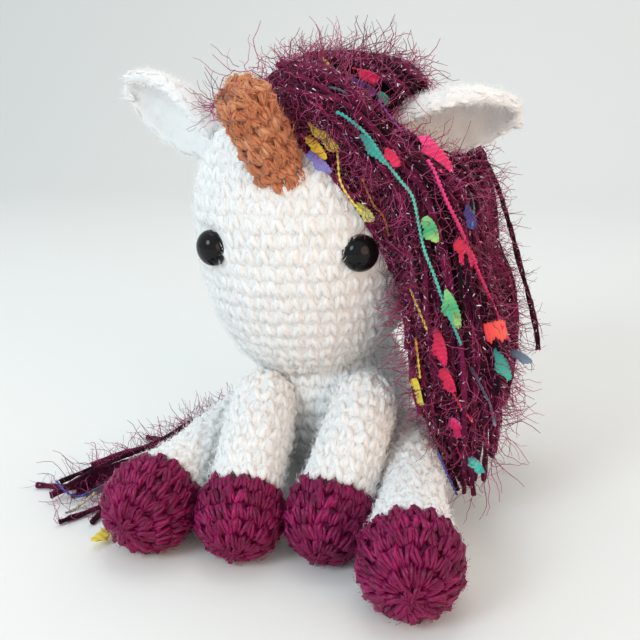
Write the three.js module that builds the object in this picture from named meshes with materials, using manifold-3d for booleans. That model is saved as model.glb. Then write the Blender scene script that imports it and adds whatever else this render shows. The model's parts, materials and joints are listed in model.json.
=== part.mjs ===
// A crocheted toy unicorn that sits on its flat seat with all four legs stretched forward.
// Millimetres, +Z up. It faces -Y, so its own left side is +X. The origin is on the flat under the body.
import * as THREE from 'three';
import { mergeVertices } from 'three/addons/utils/BufferGeometryUtils.js';
import Module from 'manifold-3d';

const wasm = await Module();
wasm.setup();

// Fits
const seam = 0.3;            // gap between pieces that touch
const fabricWall = 3.5;      // thickness of the crocheted fabric
const standFlat = 0.5;       // how deep a round form is flattened by what it stands on
const finestDetail = 0.002;  // corners closer than this are one after a cut
const sameCorner = 1e-5;     // corners closer than this are one before a cut
const onAxis = 1e-9;         // a profile's point nearer to its axis than this lies on it
const clearOfAll = 400;      // size of a cutting block that reaches past the whole toy

// Body
const bodyRadius = 29;
const bodyWidestZ = 23;
const bodyTopZ = 60;         // where the egg would close if the head did not sit on it
const bodySquareness = 0.92; // 1 gives a plain ellipse, less gives fuller shoulders and haunches

// Head
const headAt = [-6, -4, 98];
const headRadius = 39;
const crownHeight = 39;
const muzzleDrop = 62.5;
const muzzleFullness = 2.2;  // 2 gives a plain ellipse, more gives a fuller chin

// Safety eyes
const eyeDiameter = 12;
const eyeRise = 4.6;
const eyeSink = 1.4;
const shankDiameter = 4;
const shankLength = 13;
const washerDiameter = 13;
const washerThickness = 1.2;
const washerDepth = 4.5;     // from the head's surface to the washer, behind the curved fabric
const shankTipTaper = 1;
const eyeDrop = 9;
const eyeTurn = { right: -37, left: 41 };

// Horn
const hornThrough = [-4.5, -35, 114];
const hornLean = [-0.29, -0.43, 0.86];
const hornRootDepth = 16;
const hornReach = 32;
const hornBaseRadius = 9;
const hornTipRadius = 7.8;
const hornWall = 3;

// Ears
const earLength = 40;
const earHalfWidth = 13.5;
const earFlattening = 0.66;
const earWall = 3.6;
const earRootRadius = 5;
const earFlap = 16;          // degrees that an ear gives up or down
const earStandOff = 3;       // centre of the rounded root above the head's surface
const earCupStart = 6;       // height above the root where the cup begins
const earCupLip = 1.5;       // how far the rim stands in front of the leaf's middle
const earShoulder = 0.78;    // share of the half width, as near to the root as to the tip
const earShoulderAt = 0.22;  // share of the length between that shoulder and the nearer end
const earLeafRoom = 2 * seam;
const earRootRoom = 4 * seam;
const ears = {
  right: { turn: -96, rise: 33, lift: 29, open: [0.2, -0.9, -0.4] },
  left: { turn: 102, rise: 40, lift: 6, open: [0, -0.85, -0.5] },
};

// Legs: where the hoof stands, where the rounded top meets the body, and how stout each part is
const hindHoof = 14.7;
const frontHoof = 13.4;
const hoofRise = 1.3;        // the hoof's upper half is longer than a ball's by this factor
const hoofCuff = 30;         // degrees past the hoof's widest line where the colour changes
const legPress = 2.6;        // how deep the leg's top presses into the body
const legRoom = 1.5 * seam;  // gap round the leg's top in the body's fabric
const ankleAt = 0.22;        // share of the sleeve's length where the ankle is
const girthAt = 0.62;        // share of the sleeve's length where the girth is
const legs = {
  front_right: {
    hoof: [-10.5, -70], top: { turn: -26, z: 34.5, radius: 10.2 },
    hoofRadius: frontHoof, ankle: 11, girth: 11.2,
  },
  front_left: {
    hoof: [16.6, -64.8], top: { turn: 34, z: 36, radius: 10.2 },
    hoofRadius: frontHoof, ankle: 11, girth: 10.6,
  },
  hind_right: {
    hoof: [-39.9, -72.4], top: { turn: -68, z: 18, radius: 9 },
    hoofRadius: hindHoof, ankle: 10.8, girth: 10.1,
  },
  hind_left: {
    hoof: [45.6, -83.8], top: { turn: 70, z: 18, radius: 9 },
    hoofRadius: hindHoof, ankle: 10.3, girth: 9,
  },
};

// Mane
const crestAt = [3, 2, 118];
const crestHalf = [34, 34, 31];
const frontLock = {
  along: [[12, -27, 133], [31, -26, 122], [44, -24, 98], [49, -24, 70], [52, -24, 44], [56.5, -25, 16]],
  thick: [7.5, 10, 13, 15, 12.5, 5],
  wide: [12, 13, 14, 14, 12, 6],
};
const frontLockSwing = 21;   // degrees that the front lock swings away from the head
const lockSwingSteps = 3;
const lockRoom = 2 * seam;   // gap between the front lock and the crest's notch
const backLock = {
  along: [[8, 25, 132], [30, 28, 122], [48, 26, 100], [56, 21, 74], [58, 15, 48], [58, 9, 22]],
  thick: [7, 8, 9, 10, 9, 5],
  wide: [8, 9, 11, 12, 11, 6],
};

// Tail
const knotRadius = 6.5;
const knotZ = 14;
const knotPress = 2;         // how far the knot sinks into the body's fabric line
const tailRootRadius = 5.6;
const tailRootAt = [-9, 37, 9];
const tail = {
  along: [tailRootAt, [-36, 27, 7.5], [-56, 8, 6.5], [-67, -15, 6], [-77, -38, 5.5], [-87, -60, 4]],
  thick: [tailRootRadius, 6, 6, 5.5, 5, 3],
  wide: [tailRootRadius, 6.5, 8, 10, 11, 6],
};

// Facets
const headSides = 26;
const headRings = 18;
const bodySides = 22;
const bodyRings = 14;
const limbSides = 14;
const hoofRings = 6;
const sleeveRings = 4;
const topRings = 3;
const smallSides = 16;
const ballRings = 8;
const eyeRings = 5;
const hornRings = 3;
const hornCapRings = 4;
const earRings = 9;
const crestRings = 14;
const lockSides = 12;
const lockSteps = 12;
const lockCapSteps = 3;
const lockCapTip = 0.25;     // share of a cap's first step where its smallest ring stands

const yAxis = new THREE.Vector3(0, 1, 0);
const zAxis = new THREE.Vector3(0, 0, 1);
const nearlyUpright = 0.9;   // a direction with more of Z than this takes its side from Y
const radians = THREE.MathUtils.degToRad;

// A closed surface as a solid, first moved by a matrix
function solidOf(geometry, matrix = new THREE.Matrix4()) {
  const plain = geometry.clone();
  plain.deleteAttribute('normal');
  plain.deleteAttribute('uv');
  plain.applyMatrix4(matrix);
  const merged = mergeVertices(plain, sameCorner);
  return new wasm.Manifold(new wasm.Mesh({
    numProp: 3,
    vertProperties: new Float32Array(merged.attributes.position.array),
    triVerts: new Uint32Array(merged.index.array),
  }));
}

// A solid as a geometry, with the slivers that a cut leaves merged away
function geometryOf(solid) {
  const mesh = solid.getMesh();
  const geometry = new THREE.BufferGeometry();
  geometry.setAttribute('position', new THREE.BufferAttribute(mesh.vertProperties, 3));
  geometry.setIndex(new THREE.BufferAttribute(mesh.triVerts, 1));
  const merged = mergeVertices(geometry, finestDetail);
  const corners = merged.index.array;
  const kept = [];
  for (let i = 0; i < corners.length; i += 3) {
    const [a, b, c] = corners.slice(i, i + 3);
    if (a !== b && b !== c && c !== a) {
      kept.push(a, b, c);
    }
  }
  merged.setIndex(kept);
  return merged;
}

// One solid less the others, all in the same frame
function without(solid, ...cutters) {
  return cutters.reduce((left, cutter) => left.subtract(cutter), solid);
}

// The matrix that takes points of one frame into another
function between(from, to) {
  return to.clone().invert().multiply(from);
}

// A frame at a point with its +Z along a direction
function frameAt(at, direction) {
  const z = direction.clone().normalize();
  const hint = Math.abs(z.z) < nearlyUpright ? zAxis : yAxis;
  const x = new THREE.Vector3().crossVectors(hint, z).normalize();
  const y = new THREE.Vector3().crossVectors(z, x);
  return new THREE.Matrix4().makeBasis(x, y, z).setPosition(at);
}

// Moves a profile outward by a distance, square to itself; ends on the axis stay on it
function offsetProfile(points, distance) {
  return points.map((point, i) => {
    const before = points[Math.max(i - 1, 0)];
    const after = points[Math.min(i + 1, points.length - 1)];
    const along = new THREE.Vector2().subVectors(after, before).normalize();
    const moved = new THREE.Vector2(point.x + along.y * distance, point.y - along.x * distance);
    if (point.x < onAxis) {
      moved.set(0, point.y + (i === 0 ? -distance : distance));
    }
    moved.x = Math.max(moved.x, 0);
    return moved;
  });
}

function lathe(points, sides) {
  return new THREE.LatheGeometry(points, sides).rotateX(Math.PI / 2);
}

function material(hex, roughness, metalness = 0) {
  return () => new THREE.MeshStandardMaterial({ color: hex, roughness, metalness });
}

const whiteYarn = material(0xf1eeec, 0.95);
const plumYarn = material(0x7d1a52, 0.95);
const copperYarn = material(0xc0754a, 0.9);
const maneYarn = material(0x521334, 0.85);
const blackPlastic = material(0x060607, 0.08);
const clearNylon = material(0xd8d8d4, 0.4);
const fibreFill = material(0xf6f5f2, 1);

function piece(name, geometry, makeMaterial) {
  const mesh = new THREE.Mesh(geometry, makeMaterial());
  mesh.name = name;
  return mesh;
}

function groupAt(frame, ...children) {
  const group = new THREE.Group();
  group.applyMatrix4(frame);
  group.add(...children);
  return group;
}

// Head: a round crown over a longer, fuller chin
const headFrame = new THREE.Matrix4().setPosition(...headAt);

function headProfile() {
  const points = [];
  const rings = headRings;
  for (let i = 0; i <= rings; i += 1) {
    const angle = Math.PI * (i / rings - 0.5);
    const low = angle < 0;
    const power = low ? 2 / muzzleFullness : 1;
    const radius = headRadius * Math.abs(Math.cos(angle)) ** power;
    const height = (low ? -muzzleDrop : crownHeight) * Math.abs(Math.sin(angle)) ** power;
    points.push(new THREE.Vector2(i === 0 || i === rings ? 0 : radius, height));
  }
  return points;
}

function headSolid(offset, frame) {
  return solidOf(lathe(offsetProfile(headProfile(), offset), headSides), between(headFrame, frame));
}

// The point of the head's surface at a turn from the front and a rise, with its outward direction
function headSurface(turn, height) {
  const along = height < 0 ? muzzleDrop : crownHeight;
  const power = height < 0 ? muzzleFullness : 2;
  const share = Math.abs(height) / along;
  const radius = headRadius * (1 - share ** power) ** (1 / power);
  const slope = Math.sign(height) * (share ** (power - 1)) / along;
  const flat = (radius / headRadius) ** (power - 1) / headRadius;
  const out = new THREE.Vector3(Math.sin(radians(turn)), -Math.cos(radians(turn)), 0);
  const point = out.clone().multiplyScalar(radius).setZ(height).applyMatrix4(headFrame);
  const normal = out.clone().multiplyScalar(flat).setZ(slope).normalize();
  return { point, normal };
}

// Body: a squat egg, flattened where it sits
function bodyProfile() {
  const points = [];
  const rings = bodyRings;
  const bottomZ = -standFlat;
  for (let i = 0; i <= rings; i += 1) {
    const angle = Math.PI * (i / rings - 0.5);
    const reach = angle < 0 ? bodyWidestZ - bottomZ : bodyTopZ - bodyWidestZ;
    const radius = bodyRadius * Math.cos(angle) ** bodySquareness;
    const height = bodyWidestZ + reach * Math.sin(angle);
    points.push(new THREE.Vector2(i === 0 || i === rings ? 0 : radius, height));
  }
  return points;
}

function bodyRadiusAt(z) {
  const bottomZ = -standFlat;
  const reach = z < bodyWidestZ ? bodyWidestZ - bottomZ : bodyTopZ - bodyWidestZ;
  return bodyRadius * Math.cos(Math.asin((z - bodyWidestZ) / reach)) ** bodySquareness;
}

const world = new THREE.Matrix4();

// Everything below a height, in the given frame
function floorCut(frame, topZ = 0) {
  const block = new THREE.BoxGeometry(clearOfAll, clearOfAll, clearOfAll);
  return solidOf(block.translate(0, 0, topZ - clearOfAll / 2), between(world, frame));
}

// Legs: a round hoof, a slimmer sleeve and a rounded top
function legLayout(leg) {
  const turn = radians(leg.top.turn);
  const out = bodyRadiusAt(leg.top.z) + leg.top.radius - legPress;
  const top = new THREE.Vector3(out * Math.sin(turn), -out * Math.cos(turn), leg.top.z);
  const hoof = new THREE.Vector3(leg.hoof[0], leg.hoof[1], leg.hoofRadius - standFlat);
  const length = top.distanceTo(hoof);
  const frame = frameAt(hoof, top.clone().sub(hoof));
  return { top, hoof, length, frame };
}

function legProfile(leg, length) {
  const cuff = radians(hoofCuff);
  const points = [];
  for (let i = 0; i <= hoofRings; i += 1) {
    const angle = -Math.PI / 2 + (Math.PI / 2 + cuff) * (i / hoofRings);
    const radius = i === 0 ? 0 : leg.hoofRadius * Math.cos(angle);
    const rise = angle > 0 ? hoofRise : 1;
    points.push(new THREE.Vector2(radius, rise * leg.hoofRadius * Math.sin(angle)));
  }
  const cuffAt = points[points.length - 1];
  const sleeve = new THREE.SplineCurve([
    cuffAt,
    new THREE.Vector2(leg.ankle, THREE.MathUtils.lerp(cuffAt.y, length, ankleAt)),
    new THREE.Vector2(leg.girth, THREE.MathUtils.lerp(cuffAt.y, length, girthAt)),
    new THREE.Vector2(leg.top.radius, length),
  ]);
  points.push(...sleeve.getPoints(sleeveRings).slice(1));
  for (let i = 1; i <= topRings; i += 1) {
    const angle = (Math.PI / 2) * (i / topRings);
    const radius = i === topRings ? 0 : leg.top.radius * Math.cos(angle);
    points.push(new THREE.Vector2(radius, length + leg.top.radius * Math.sin(angle)));
  }
  return { points, cuffIndex: hoofRings };
}

function makeLeg(name, leg) {
  const { length, frame } = legLayout(leg);
  const { points, cuffIndex } = legProfile(leg, length);
  const inner = offsetProfile(points, -fabricWall);
  const cuffZ = points[cuffIndex].y;
  const halfSeam = seam / 2;
  const cutAt = (list, z) => {
    const i = list.findIndex((point) => point.y > z);
    const share = (z - list[i - 1].y) / (list[i].y - list[i - 1].y);
    return { i, point: list[i - 1].clone().lerp(list[i], share) };
  };
  const upTo = (list, z) => [...list.slice(0, cutAt(list, z).i), cutAt(list, z).point];
  const from = (list, z) => [cutAt(list, z).point, ...list.slice(cutAt(list, z).i)];
  const hoofShell = [...upTo(points, cuffZ - halfSeam), ...upTo(inner, cuffZ - halfSeam).reverse()];
  const sleeveShell = [...from(inner, cuffZ + halfSeam).reverse(), ...from(points, cuffZ + halfSeam)];
  const floor = floorCut(frame);
  const hoof = without(solidOf(lathe(hoofShell, limbSides)), floor);
  const sleeve = without(solidOf(lathe(sleeveShell, limbSides)), floor);
  const fill = solidOf(lathe(offsetProfile(points, -fabricWall - seam), limbSides));
  return groupAt(
    frame,
    piece(`${name}_leg_sleeve`, geometryOf(sleeve), whiteYarn),
    piece(`${name}_hoof`, geometryOf(hoof), plumYarn),
    piece(`${name}_leg_stuffing`, geometryOf(fill), fibreFill),
  );
}

function makeBody() {
  const outer = solidOf(lathe(bodyProfile(), bodySides));
  const inner = solidOf(lathe(offsetProfile(bodyProfile(), -fabricWall), bodySides));
  const fill = solidOf(lathe(offsetProfile(bodyProfile(), -fabricWall - seam), bodySides));
  const head = headSolid(seam, world);
  const dimples = Object.values(legs).map((leg) => {
    const { top } = legLayout(leg);
    const ball = new THREE.SphereGeometry(leg.top.radius + legRoom, smallSides, ballRings);
    return solidOf(ball.translate(top.x, top.y, top.z));
  });
  const cover = without(outer, inner, head, floorCut(world), ...dimples);
  return [
    piece('body_cover', geometryOf(cover), whiteYarn),
    piece('body_stuffing', geometryOf(without(fill, head)), fibreFill),
  ];
}

// Eyes: a domed button, its shank through the fabric and a washer behind it
function eyeFrame(turn) {
  const { point, normal } = headSurface(turn, -eyeDrop);
  return frameAt(point, normal);
}

function eyeProfile() {
  const radius = eyeDiameter / 2;
  const points = [new THREE.Vector2(0, -eyeSink - shankLength)];
  const shankRadius = shankDiameter / 2;
  points.push(new THREE.Vector2(shankRadius - shankTipTaper / 2, -eyeSink - shankLength));
  points.push(new THREE.Vector2(shankRadius, -eyeSink - shankLength + shankTipTaper));
  points.push(new THREE.Vector2(shankRadius, -eyeSink));
  points.push(new THREE.Vector2(radius, -eyeSink));
  for (let i = 0; i <= eyeRings; i += 1) {
    const angle = (Math.PI / 2) * (i / eyeRings);
    const x = i === eyeRings ? 0 : radius * Math.cos(angle);
    points.push(new THREE.Vector2(x, eyeRise * Math.sin(angle)));
  }
  return points;
}

function washerProfile() {
  const hole = shankDiameter / 2 + seam;
  const low = -washerDepth - washerThickness;
  const corner = (x, y) => new THREE.Vector2(x, y);
  const rim = washerDiameter / 2;
  const back = [corner(hole, low), corner(rim, low)];
  const front = [corner(rim, -washerDepth), corner(hole, -washerDepth)];
  return [...back, ...front, corner(hole, low)];
}

// A round bar along +Z between two heights
function rod(radius, low, high) {
  const bar = new THREE.CylinderGeometry(radius, radius, high - low, smallSides);
  return bar.rotateX(Math.PI / 2).translate(0, 0, (low + high) / 2);
}

// The hollows that one eye needs in the fabric and in the stuffing
function eyeSeat(frame) {
  const pocket = rod(eyeDiameter / 2 + seam, -eyeSink - seam, eyeDiameter);
  const post = rod(shankDiameter / 2 + seam, -eyeSink - shankLength, 0);
  return solidOf(pocket, frame).add(solidOf(post, frame));
}

function eyeHollow(frame) {
  const post = rod(shankDiameter / 2 + seam, -eyeSink - shankLength - seam, 0);
  const disc = rod(washerDiameter / 2 + seam, -washerDepth - washerThickness - seam, 0);
  return solidOf(post, frame).add(solidOf(disc, frame));
}

// Horn: a blunt, slightly tapered tube whose open root follows the forehead
const hornAlong = new THREE.Vector3(...hornLean).normalize();
const hornRoot = new THREE.Vector3(...hornThrough).addScaledVector(hornAlong, -hornRootDepth);
const hornFrame = frameAt(hornRoot, hornAlong);
const hornLength = hornRootDepth + hornReach;

function hornProfile() {
  const shoulder = hornLength - hornTipRadius;
  const points = [];
  for (let i = 0; i <= hornRings; i += 1) {
    const radius = THREE.MathUtils.lerp(hornBaseRadius, hornTipRadius, i / hornRings);
    points.push(new THREE.Vector2(radius, (shoulder * i) / hornRings));
  }
  for (let i = 1; i <= hornCapRings; i += 1) {
    const angle = (Math.PI / 2) * (i / hornCapRings);
    const radius = i === hornCapRings ? 0 : hornTipRadius * Math.cos(angle);
    points.push(new THREE.Vector2(radius, shoulder + hornTipRadius * Math.sin(angle)));
  }
  return points;
}

function hornSolid(offset, frame) {
  const profile = offsetProfile(hornProfile(), offset);
  const closed = [new THREE.Vector2(0, profile[0].y), ...profile];
  return solidOf(lathe(closed, smallSides), between(hornFrame, frame));
}

function makeHorn() {
  const head = headSolid(seam, hornFrame);
  const cover = without(hornSolid(0, hornFrame), hornSolid(-hornWall, hornFrame), head);
  const fill = without(hornSolid(-hornWall - seam, hornFrame), head);
  return groupAt(
    hornFrame,
    piece('horn_cover', geometryOf(cover), copperYarn),
    piece('horn_stuffing', geometryOf(fill), fibreFill),
  );
}

// Ears: a pointed leaf, cupped towards the front, on a rounded gathered root
function earFrame(ear) {
  const height = crownHeight * Math.sin(radians(ear.rise));
  const { point, normal } = headSurface(ear.turn, height);
  const root = point.clone().addScaledVector(normal, earStandOff);
  const sideways = Math.sign(ear.turn);
  const lift = radians(ear.lift);
  const along = new THREE.Vector3(sideways * Math.cos(lift), 0, Math.sin(lift));
  const open = new THREE.Vector3(...ear.open);
  open.addScaledVector(along, -open.dot(along)).normalize();
  const x = new THREE.Vector3().crossVectors(open.clone().negate(), along);
  return new THREE.Matrix4().makeBasis(x, open.clone().negate(), along).setPosition(root);
}

function earProfile() {
  const leaf = new THREE.SplineCurve([
    new THREE.Vector2(earRootRadius, 0),
    new THREE.Vector2(earHalfWidth * earShoulder, earLength * earShoulderAt),
    new THREE.Vector2(earHalfWidth, earLength / 2),
    new THREE.Vector2(earHalfWidth * earShoulder, earLength * (1 - earShoulderAt)),
    new THREE.Vector2(0, earLength),
  ]).getPoints(earRings);
  leaf[leaf.length - 1].x = 0;
  return leaf;
}

function earLeaf(offset) {
  const profile = offsetProfile(earProfile(), offset);
  const closed = [new THREE.Vector2(0, profile[0].y), ...profile];
  return lathe(closed, smallSides).scale(1, earFlattening, 1);
}

function earRoot(offset) {
  return new THREE.SphereGeometry(earRootRadius + offset, smallSides, ballRings);
}

function makeEar(name, ear) {
  const frame = earFrame(ear);
  const hollow = solidOf(earLeaf(-earWall).translate(0, 0, earCupStart - earWall));
  const half = clearOfAll / 2;
  const front = new THREE.BoxGeometry(clearOfAll, clearOfAll, clearOfAll);
  front.translate(0, -half - earCupLip, half + earCupStart);
  const leaf = solidOf(earLeaf(0)).add(solidOf(earRoot(0)));
  return groupAt(frame, piece(name, geometryOf(without(leaf, hollow, solidOf(front))), whiteYarn));
}

// The room that an ear needs as it bends to and fro
function earRoom(ear) {
  const frame = earFrame(ear);
  const turns = [-1, 0, 1].map((share) => radians(share * earFlap));
  const rooms = turns.map((turn) => {
    const flap = new THREE.Matrix4().makeRotationX(turn);
    return solidOf(earLeaf(earLeafRoom), frame.clone().multiply(flap));
  });
  return rooms.reduce((all, room) => all.add(room), solidOf(earRoot(earRootRoom), frame));
}

function makeHead() {
  const outer = headSolid(0, headFrame);
  const inner = headSolid(-fabricWall, headFrame);
  const eyeFrames = Object.values(eyeTurn).map((turn) => between(eyeFrame(turn), headFrame));
  const dimples = Object.values(ears).map((ear) => solidOf(earRoot(seam), between(earFrame(ear), headFrame)));
  const cover = without(outer, inner, ...eyeFrames.map(eyeSeat), ...dimples);
  const fill = without(headSolid(-fabricWall - seam, headFrame), ...eyeFrames.map(eyeHollow));
  return groupAt(
    headFrame,
    piece('head_cover', geometryOf(cover), whiteYarn),
    piece('head_stuffing', geometryOf(fill), fibreFill),
  );
}

function makeEyes() {
  return Object.entries(eyeTurn).map(([side, turn]) => groupAt(
    eyeFrame(turn),
    piece(`eye_${side}`, lathe(eyeProfile(), smallSides), blackPlastic),
    piece(`eye_washer_${side}`, lathe(washerProfile(), smallSides), clearNylon),
  ));
}

// A lock of mane or tail: rounded ends, an oval section that changes along a curve
function lockGeometry(lock, sideHint, grow = 0) {
  const curve = new THREE.CatmullRomCurve3(lock.along.map((at) => new THREE.Vector3(...at)));
  const sizes = new THREE.SplineCurve(lock.thick.map((thick, i) => new THREE.Vector2(thick, lock.wide[i])));
  const rings = [];
  const startRound = sizes.getPoint(0).x + grow;
  const endRound = sizes.getPoint(1).x + grow;
  const addRing = (at, tangent, thick, wide) => {
    const side = sideHint.clone().addScaledVector(tangent, -tangent.dot(sideHint)).normalize();
    const normal = new THREE.Vector3().crossVectors(tangent, side);
    rings.push(Array.from({ length: lockSides }, (_, k) => {
      const angle = (2 * Math.PI * k) / lockSides;
      return at.clone()
        .addScaledVector(normal, thick * Math.cos(angle))
        .addScaledVector(side, wide * Math.sin(angle));
    }));
  };
  const cap = (u, round, direction) => {
    const tangent = curve.getTangent(u);
    const size = sizes.getPoint(u);
    for (let i = 0; i < lockCapSteps; i += 1) {
      const k = direction < 0 ? i : lockCapSteps - 1 - i;
      const angle = (Math.PI / 2) * (1 - (k + lockCapTip) / lockCapSteps);
      const at = curve.getPoint(u).addScaledVector(tangent, direction * round * Math.sin(angle));
      addRing(at, tangent, (size.x + grow) * Math.cos(angle), (size.y + grow) * Math.cos(angle));
    }
  };
  cap(0, startRound, -1);
  for (let i = 0; i <= lockSteps; i += 1) {
    const u = i / lockSteps;
    const size = sizes.getPoint(u);
    addRing(curve.getPoint(u), curve.getTangent(u), size.x + grow, size.y + grow);
  }
  cap(1, endRound, 1);
  return skin(rings);
}

// Closes a row of equal rings with two end fans
function skin(rings) {
  const sides = rings[0].length;
  const positions = rings.flat().flatMap((point) => point.toArray());
  const total = (ring) => ring.reduce((sum, point) => sum.add(point), new THREE.Vector3());
  const middle = (ring) => total(ring).divideScalar(sides);
  positions.push(...middle(rings[0]).toArray(), ...middle(rings[rings.length - 1]).toArray());
  const firstMiddle = rings.length * sides;
  const index = [];
  for (let i = 0; i + 1 < rings.length; i += 1) {
    for (let k = 0; k < sides; k += 1) {
      const a = i * sides + k;
      const b = i * sides + ((k + 1) % sides);
      index.push(a, a + sides, b, b, a + sides, b + sides);
    }
  }
  const last = (rings.length - 1) * sides;
  for (let k = 0; k < sides; k += 1) {
    const next = (k + 1) % sides;
    index.push(firstMiddle, k, next);
    index.push(firstMiddle + 1, last + next, last + k);
  }
  const geometry = new THREE.BufferGeometry();
  geometry.setAttribute('position', new THREE.Float32BufferAttribute(positions, 3));
  geometry.setIndex(index);
  return geometry;
}

function crestSolid(grow) {
  const ball = new THREE.SphereGeometry(1, headSides, crestRings)
    .rotateX(Math.PI / 2)
    .scale(...crestHalf.map((half) => half + grow))
    .translate(...crestAt);
  return solidOf(ball);
}

// The front lock's swing about its own top, outward for a positive share of its full swing
function lockSwing(share) {
  const top = new THREE.Vector3(...frontLock.along[0]);
  const turn = new THREE.Matrix4().makeRotationY(-radians(share * frontLockSwing));
  return turn.setPosition(top.clone().sub(top.clone().applyMatrix4(turn)));
}

// The corner of the crest that stays free for the front lock to hang and swing in
function frontLockRoom() {
  const [topX, topY] = frontLock.along[0];
  const left = topX - frontLock.thick[0] - lockRoom;
  const back = topY + Math.max(...frontLock.wide) + lockRoom;
  const half = clearOfAll / 2;
  const room = new THREE.BoxGeometry(clearOfAll, clearOfAll, clearOfAll);
  return solidOf(room.translate(left + half, back - half, 0));
}

function makeMane() {
  const head = headSolid(seam, world);
  const horn = hornSolid(seam, world);
  const headRooms = Array.from({ length: lockSwingSteps + 1 }, (_, i) => (
    headSolid(seam, lockSwing(i / lockSwingSteps))
  ));
  const earRooms = Object.values(ears).map(earRoom);
  const crest = without(crestSolid(0), head, horn, frontLockRoom(), ...earRooms);
  const lockFront = without(solidOf(lockGeometry(frontLock, yAxis)), ...headRooms);
  const lockBack = without(solidOf(lockGeometry(backLock, yAxis)), head, crestSolid(seam), ...earRooms);
  return [
    piece('mane_crest', geometryOf(crest), maneYarn),
    piece('mane_front_lock', geometryOf(lockFront), maneYarn),
    piece('mane_back_lock', geometryOf(lockBack), maneYarn),
  ];
}

function makeTail() {
  const body = solidOf(lathe(offsetProfile(bodyProfile(), seam), bodySides));
  const knotY = bodyRadiusAt(knotZ) + knotRadius - knotPress;
  const ball = new THREE.SphereGeometry(knotRadius, smallSides, ballRings);
  const knot = solidOf(ball.translate(0, knotY, knotZ));
  const lock = solidOf(lockGeometry(tail, zAxis));
  const tailRoom = solidOf(lockGeometry(tail, zAxis, seam));
  return [
    piece('tail_knot', geometryOf(without(knot, body, tailRoom)), maneYarn),
    piece('tail_lock', geometryOf(without(lock, body, floorCut(world, seam))), maneYarn),
  ];
}

const unicorn = new THREE.Group();
unicorn.add(
  ...makeBody(),
  makeHead(),
  ...makeEyes(),
  makeHorn(),
  makeEar('ear_right', ears.right),
  makeEar('ear_left', ears.left),
  ...Object.entries(legs).map(([name, leg]) => makeLeg(name, leg)),
  ...makeMane(),
  ...makeTail(),
);

export default unicorn;
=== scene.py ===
import json
import math
import random

import bmesh
import bpy
import numpy as np
from mathutils import Matrix, Vector, noise
from mathutils.bvhtree import BVHTree

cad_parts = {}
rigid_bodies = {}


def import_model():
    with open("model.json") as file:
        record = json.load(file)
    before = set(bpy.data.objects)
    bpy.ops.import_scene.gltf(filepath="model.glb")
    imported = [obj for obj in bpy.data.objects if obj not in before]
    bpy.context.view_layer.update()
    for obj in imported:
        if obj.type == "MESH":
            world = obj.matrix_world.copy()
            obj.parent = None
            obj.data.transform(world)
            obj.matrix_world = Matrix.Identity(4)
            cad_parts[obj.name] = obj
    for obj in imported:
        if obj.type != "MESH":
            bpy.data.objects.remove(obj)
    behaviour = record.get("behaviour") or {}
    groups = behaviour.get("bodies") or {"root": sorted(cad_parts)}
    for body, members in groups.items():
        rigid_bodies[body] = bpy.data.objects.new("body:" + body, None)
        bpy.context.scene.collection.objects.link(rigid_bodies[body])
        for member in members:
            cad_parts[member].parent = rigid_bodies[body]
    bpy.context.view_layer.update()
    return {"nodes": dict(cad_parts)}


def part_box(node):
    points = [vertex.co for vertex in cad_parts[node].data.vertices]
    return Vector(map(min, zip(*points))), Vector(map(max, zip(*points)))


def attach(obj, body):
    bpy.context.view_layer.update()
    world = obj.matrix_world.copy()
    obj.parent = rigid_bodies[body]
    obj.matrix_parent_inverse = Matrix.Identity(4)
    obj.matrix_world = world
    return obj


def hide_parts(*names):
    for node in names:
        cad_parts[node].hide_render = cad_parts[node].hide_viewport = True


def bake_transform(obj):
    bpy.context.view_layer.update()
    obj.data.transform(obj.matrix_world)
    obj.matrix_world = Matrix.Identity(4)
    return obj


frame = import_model()
mm = 0.001
fullTurn, quarterTurn = 2 * math.pi, math.pi / 2
drawnTurn = 6.28   # a turn drawn by chance
upAxis, depthAxis = Vector((0, 0, 1)), Vector((0, 1, 0))


# Small helpers

def say(text):
    print("unicorn:", text, flush=True)


def tint(red, green, blue):
    # a colour as a paint card gives it, made linear
    return tuple((c / 255) ** 2.2 for c in (red, green, blue)) + (1.0,)


def mmVector(x, y, z):
    return Vector((x, y, z)) * mm


def newObject(name, data):
    obj = bpy.data.objects.new(name, data)
    bpy.context.scene.collection.objects.link(obj)
    return obj


def meshObject(name, corners, faces=(), edges=()):
    mesh = bpy.data.meshes.new(name)
    mesh.from_pydata([tuple(c) for c in corners], [tuple(e) for e in edges], [tuple(f) for f in faces])
    mesh.update()
    return newObject(name, mesh)


def smoothShade(obj):
    obj.data.polygons.foreach_set("use_smooth", [True] * len(obj.data.polygons))
    obj.data.update()


def facesOut(obj):
    work = bmesh.new()
    work.from_mesh(obj.data)
    bmesh.ops.recalc_face_normals(work, faces=work.faces)
    work.to_mesh(obj.data)
    work.free()


def dropObject(obj):
    mesh = obj.data
    bpy.data.objects.remove(obj)
    if mesh.users == 0:
        bpy.data.meshes.remove(mesh)


def evaluatedMesh(obj):
    # what an object's modifiers make of it as a plain mesh, and the modifiers dropped
    bpy.context.view_layer.update()
    graph = bpy.context.evaluated_depsgraph_get()
    mesh = bpy.data.meshes.new_from_object(obj.evaluated_get(graph), depsgraph=graph)
    obj.modifiers.clear()
    return mesh


def storeVectors(obj, **named):
    # a vector for each point of a mesh, under each name
    for name, vectors in named.items():
        layer = obj.data.attributes.new(name, "FLOAT_VECTOR", "POINT")
        layer.data.foreach_set("vector", [v for vector in vectors for v in vector])


def storeValues(obj, name, values):
    layer = obj.data.attributes.new(name, "FLOAT", "POINT")
    layer.data.foreach_set("value", values)


def plainStrandMarks(obj, mark=0.3):
    # a skin between stitches shows one plain place of the yarn's pattern
    layer = obj.data.uv_layers.new(name="strand")
    layer.data.foreach_set("uv", [mark] * (2 * len(obj.data.loops)))


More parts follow.
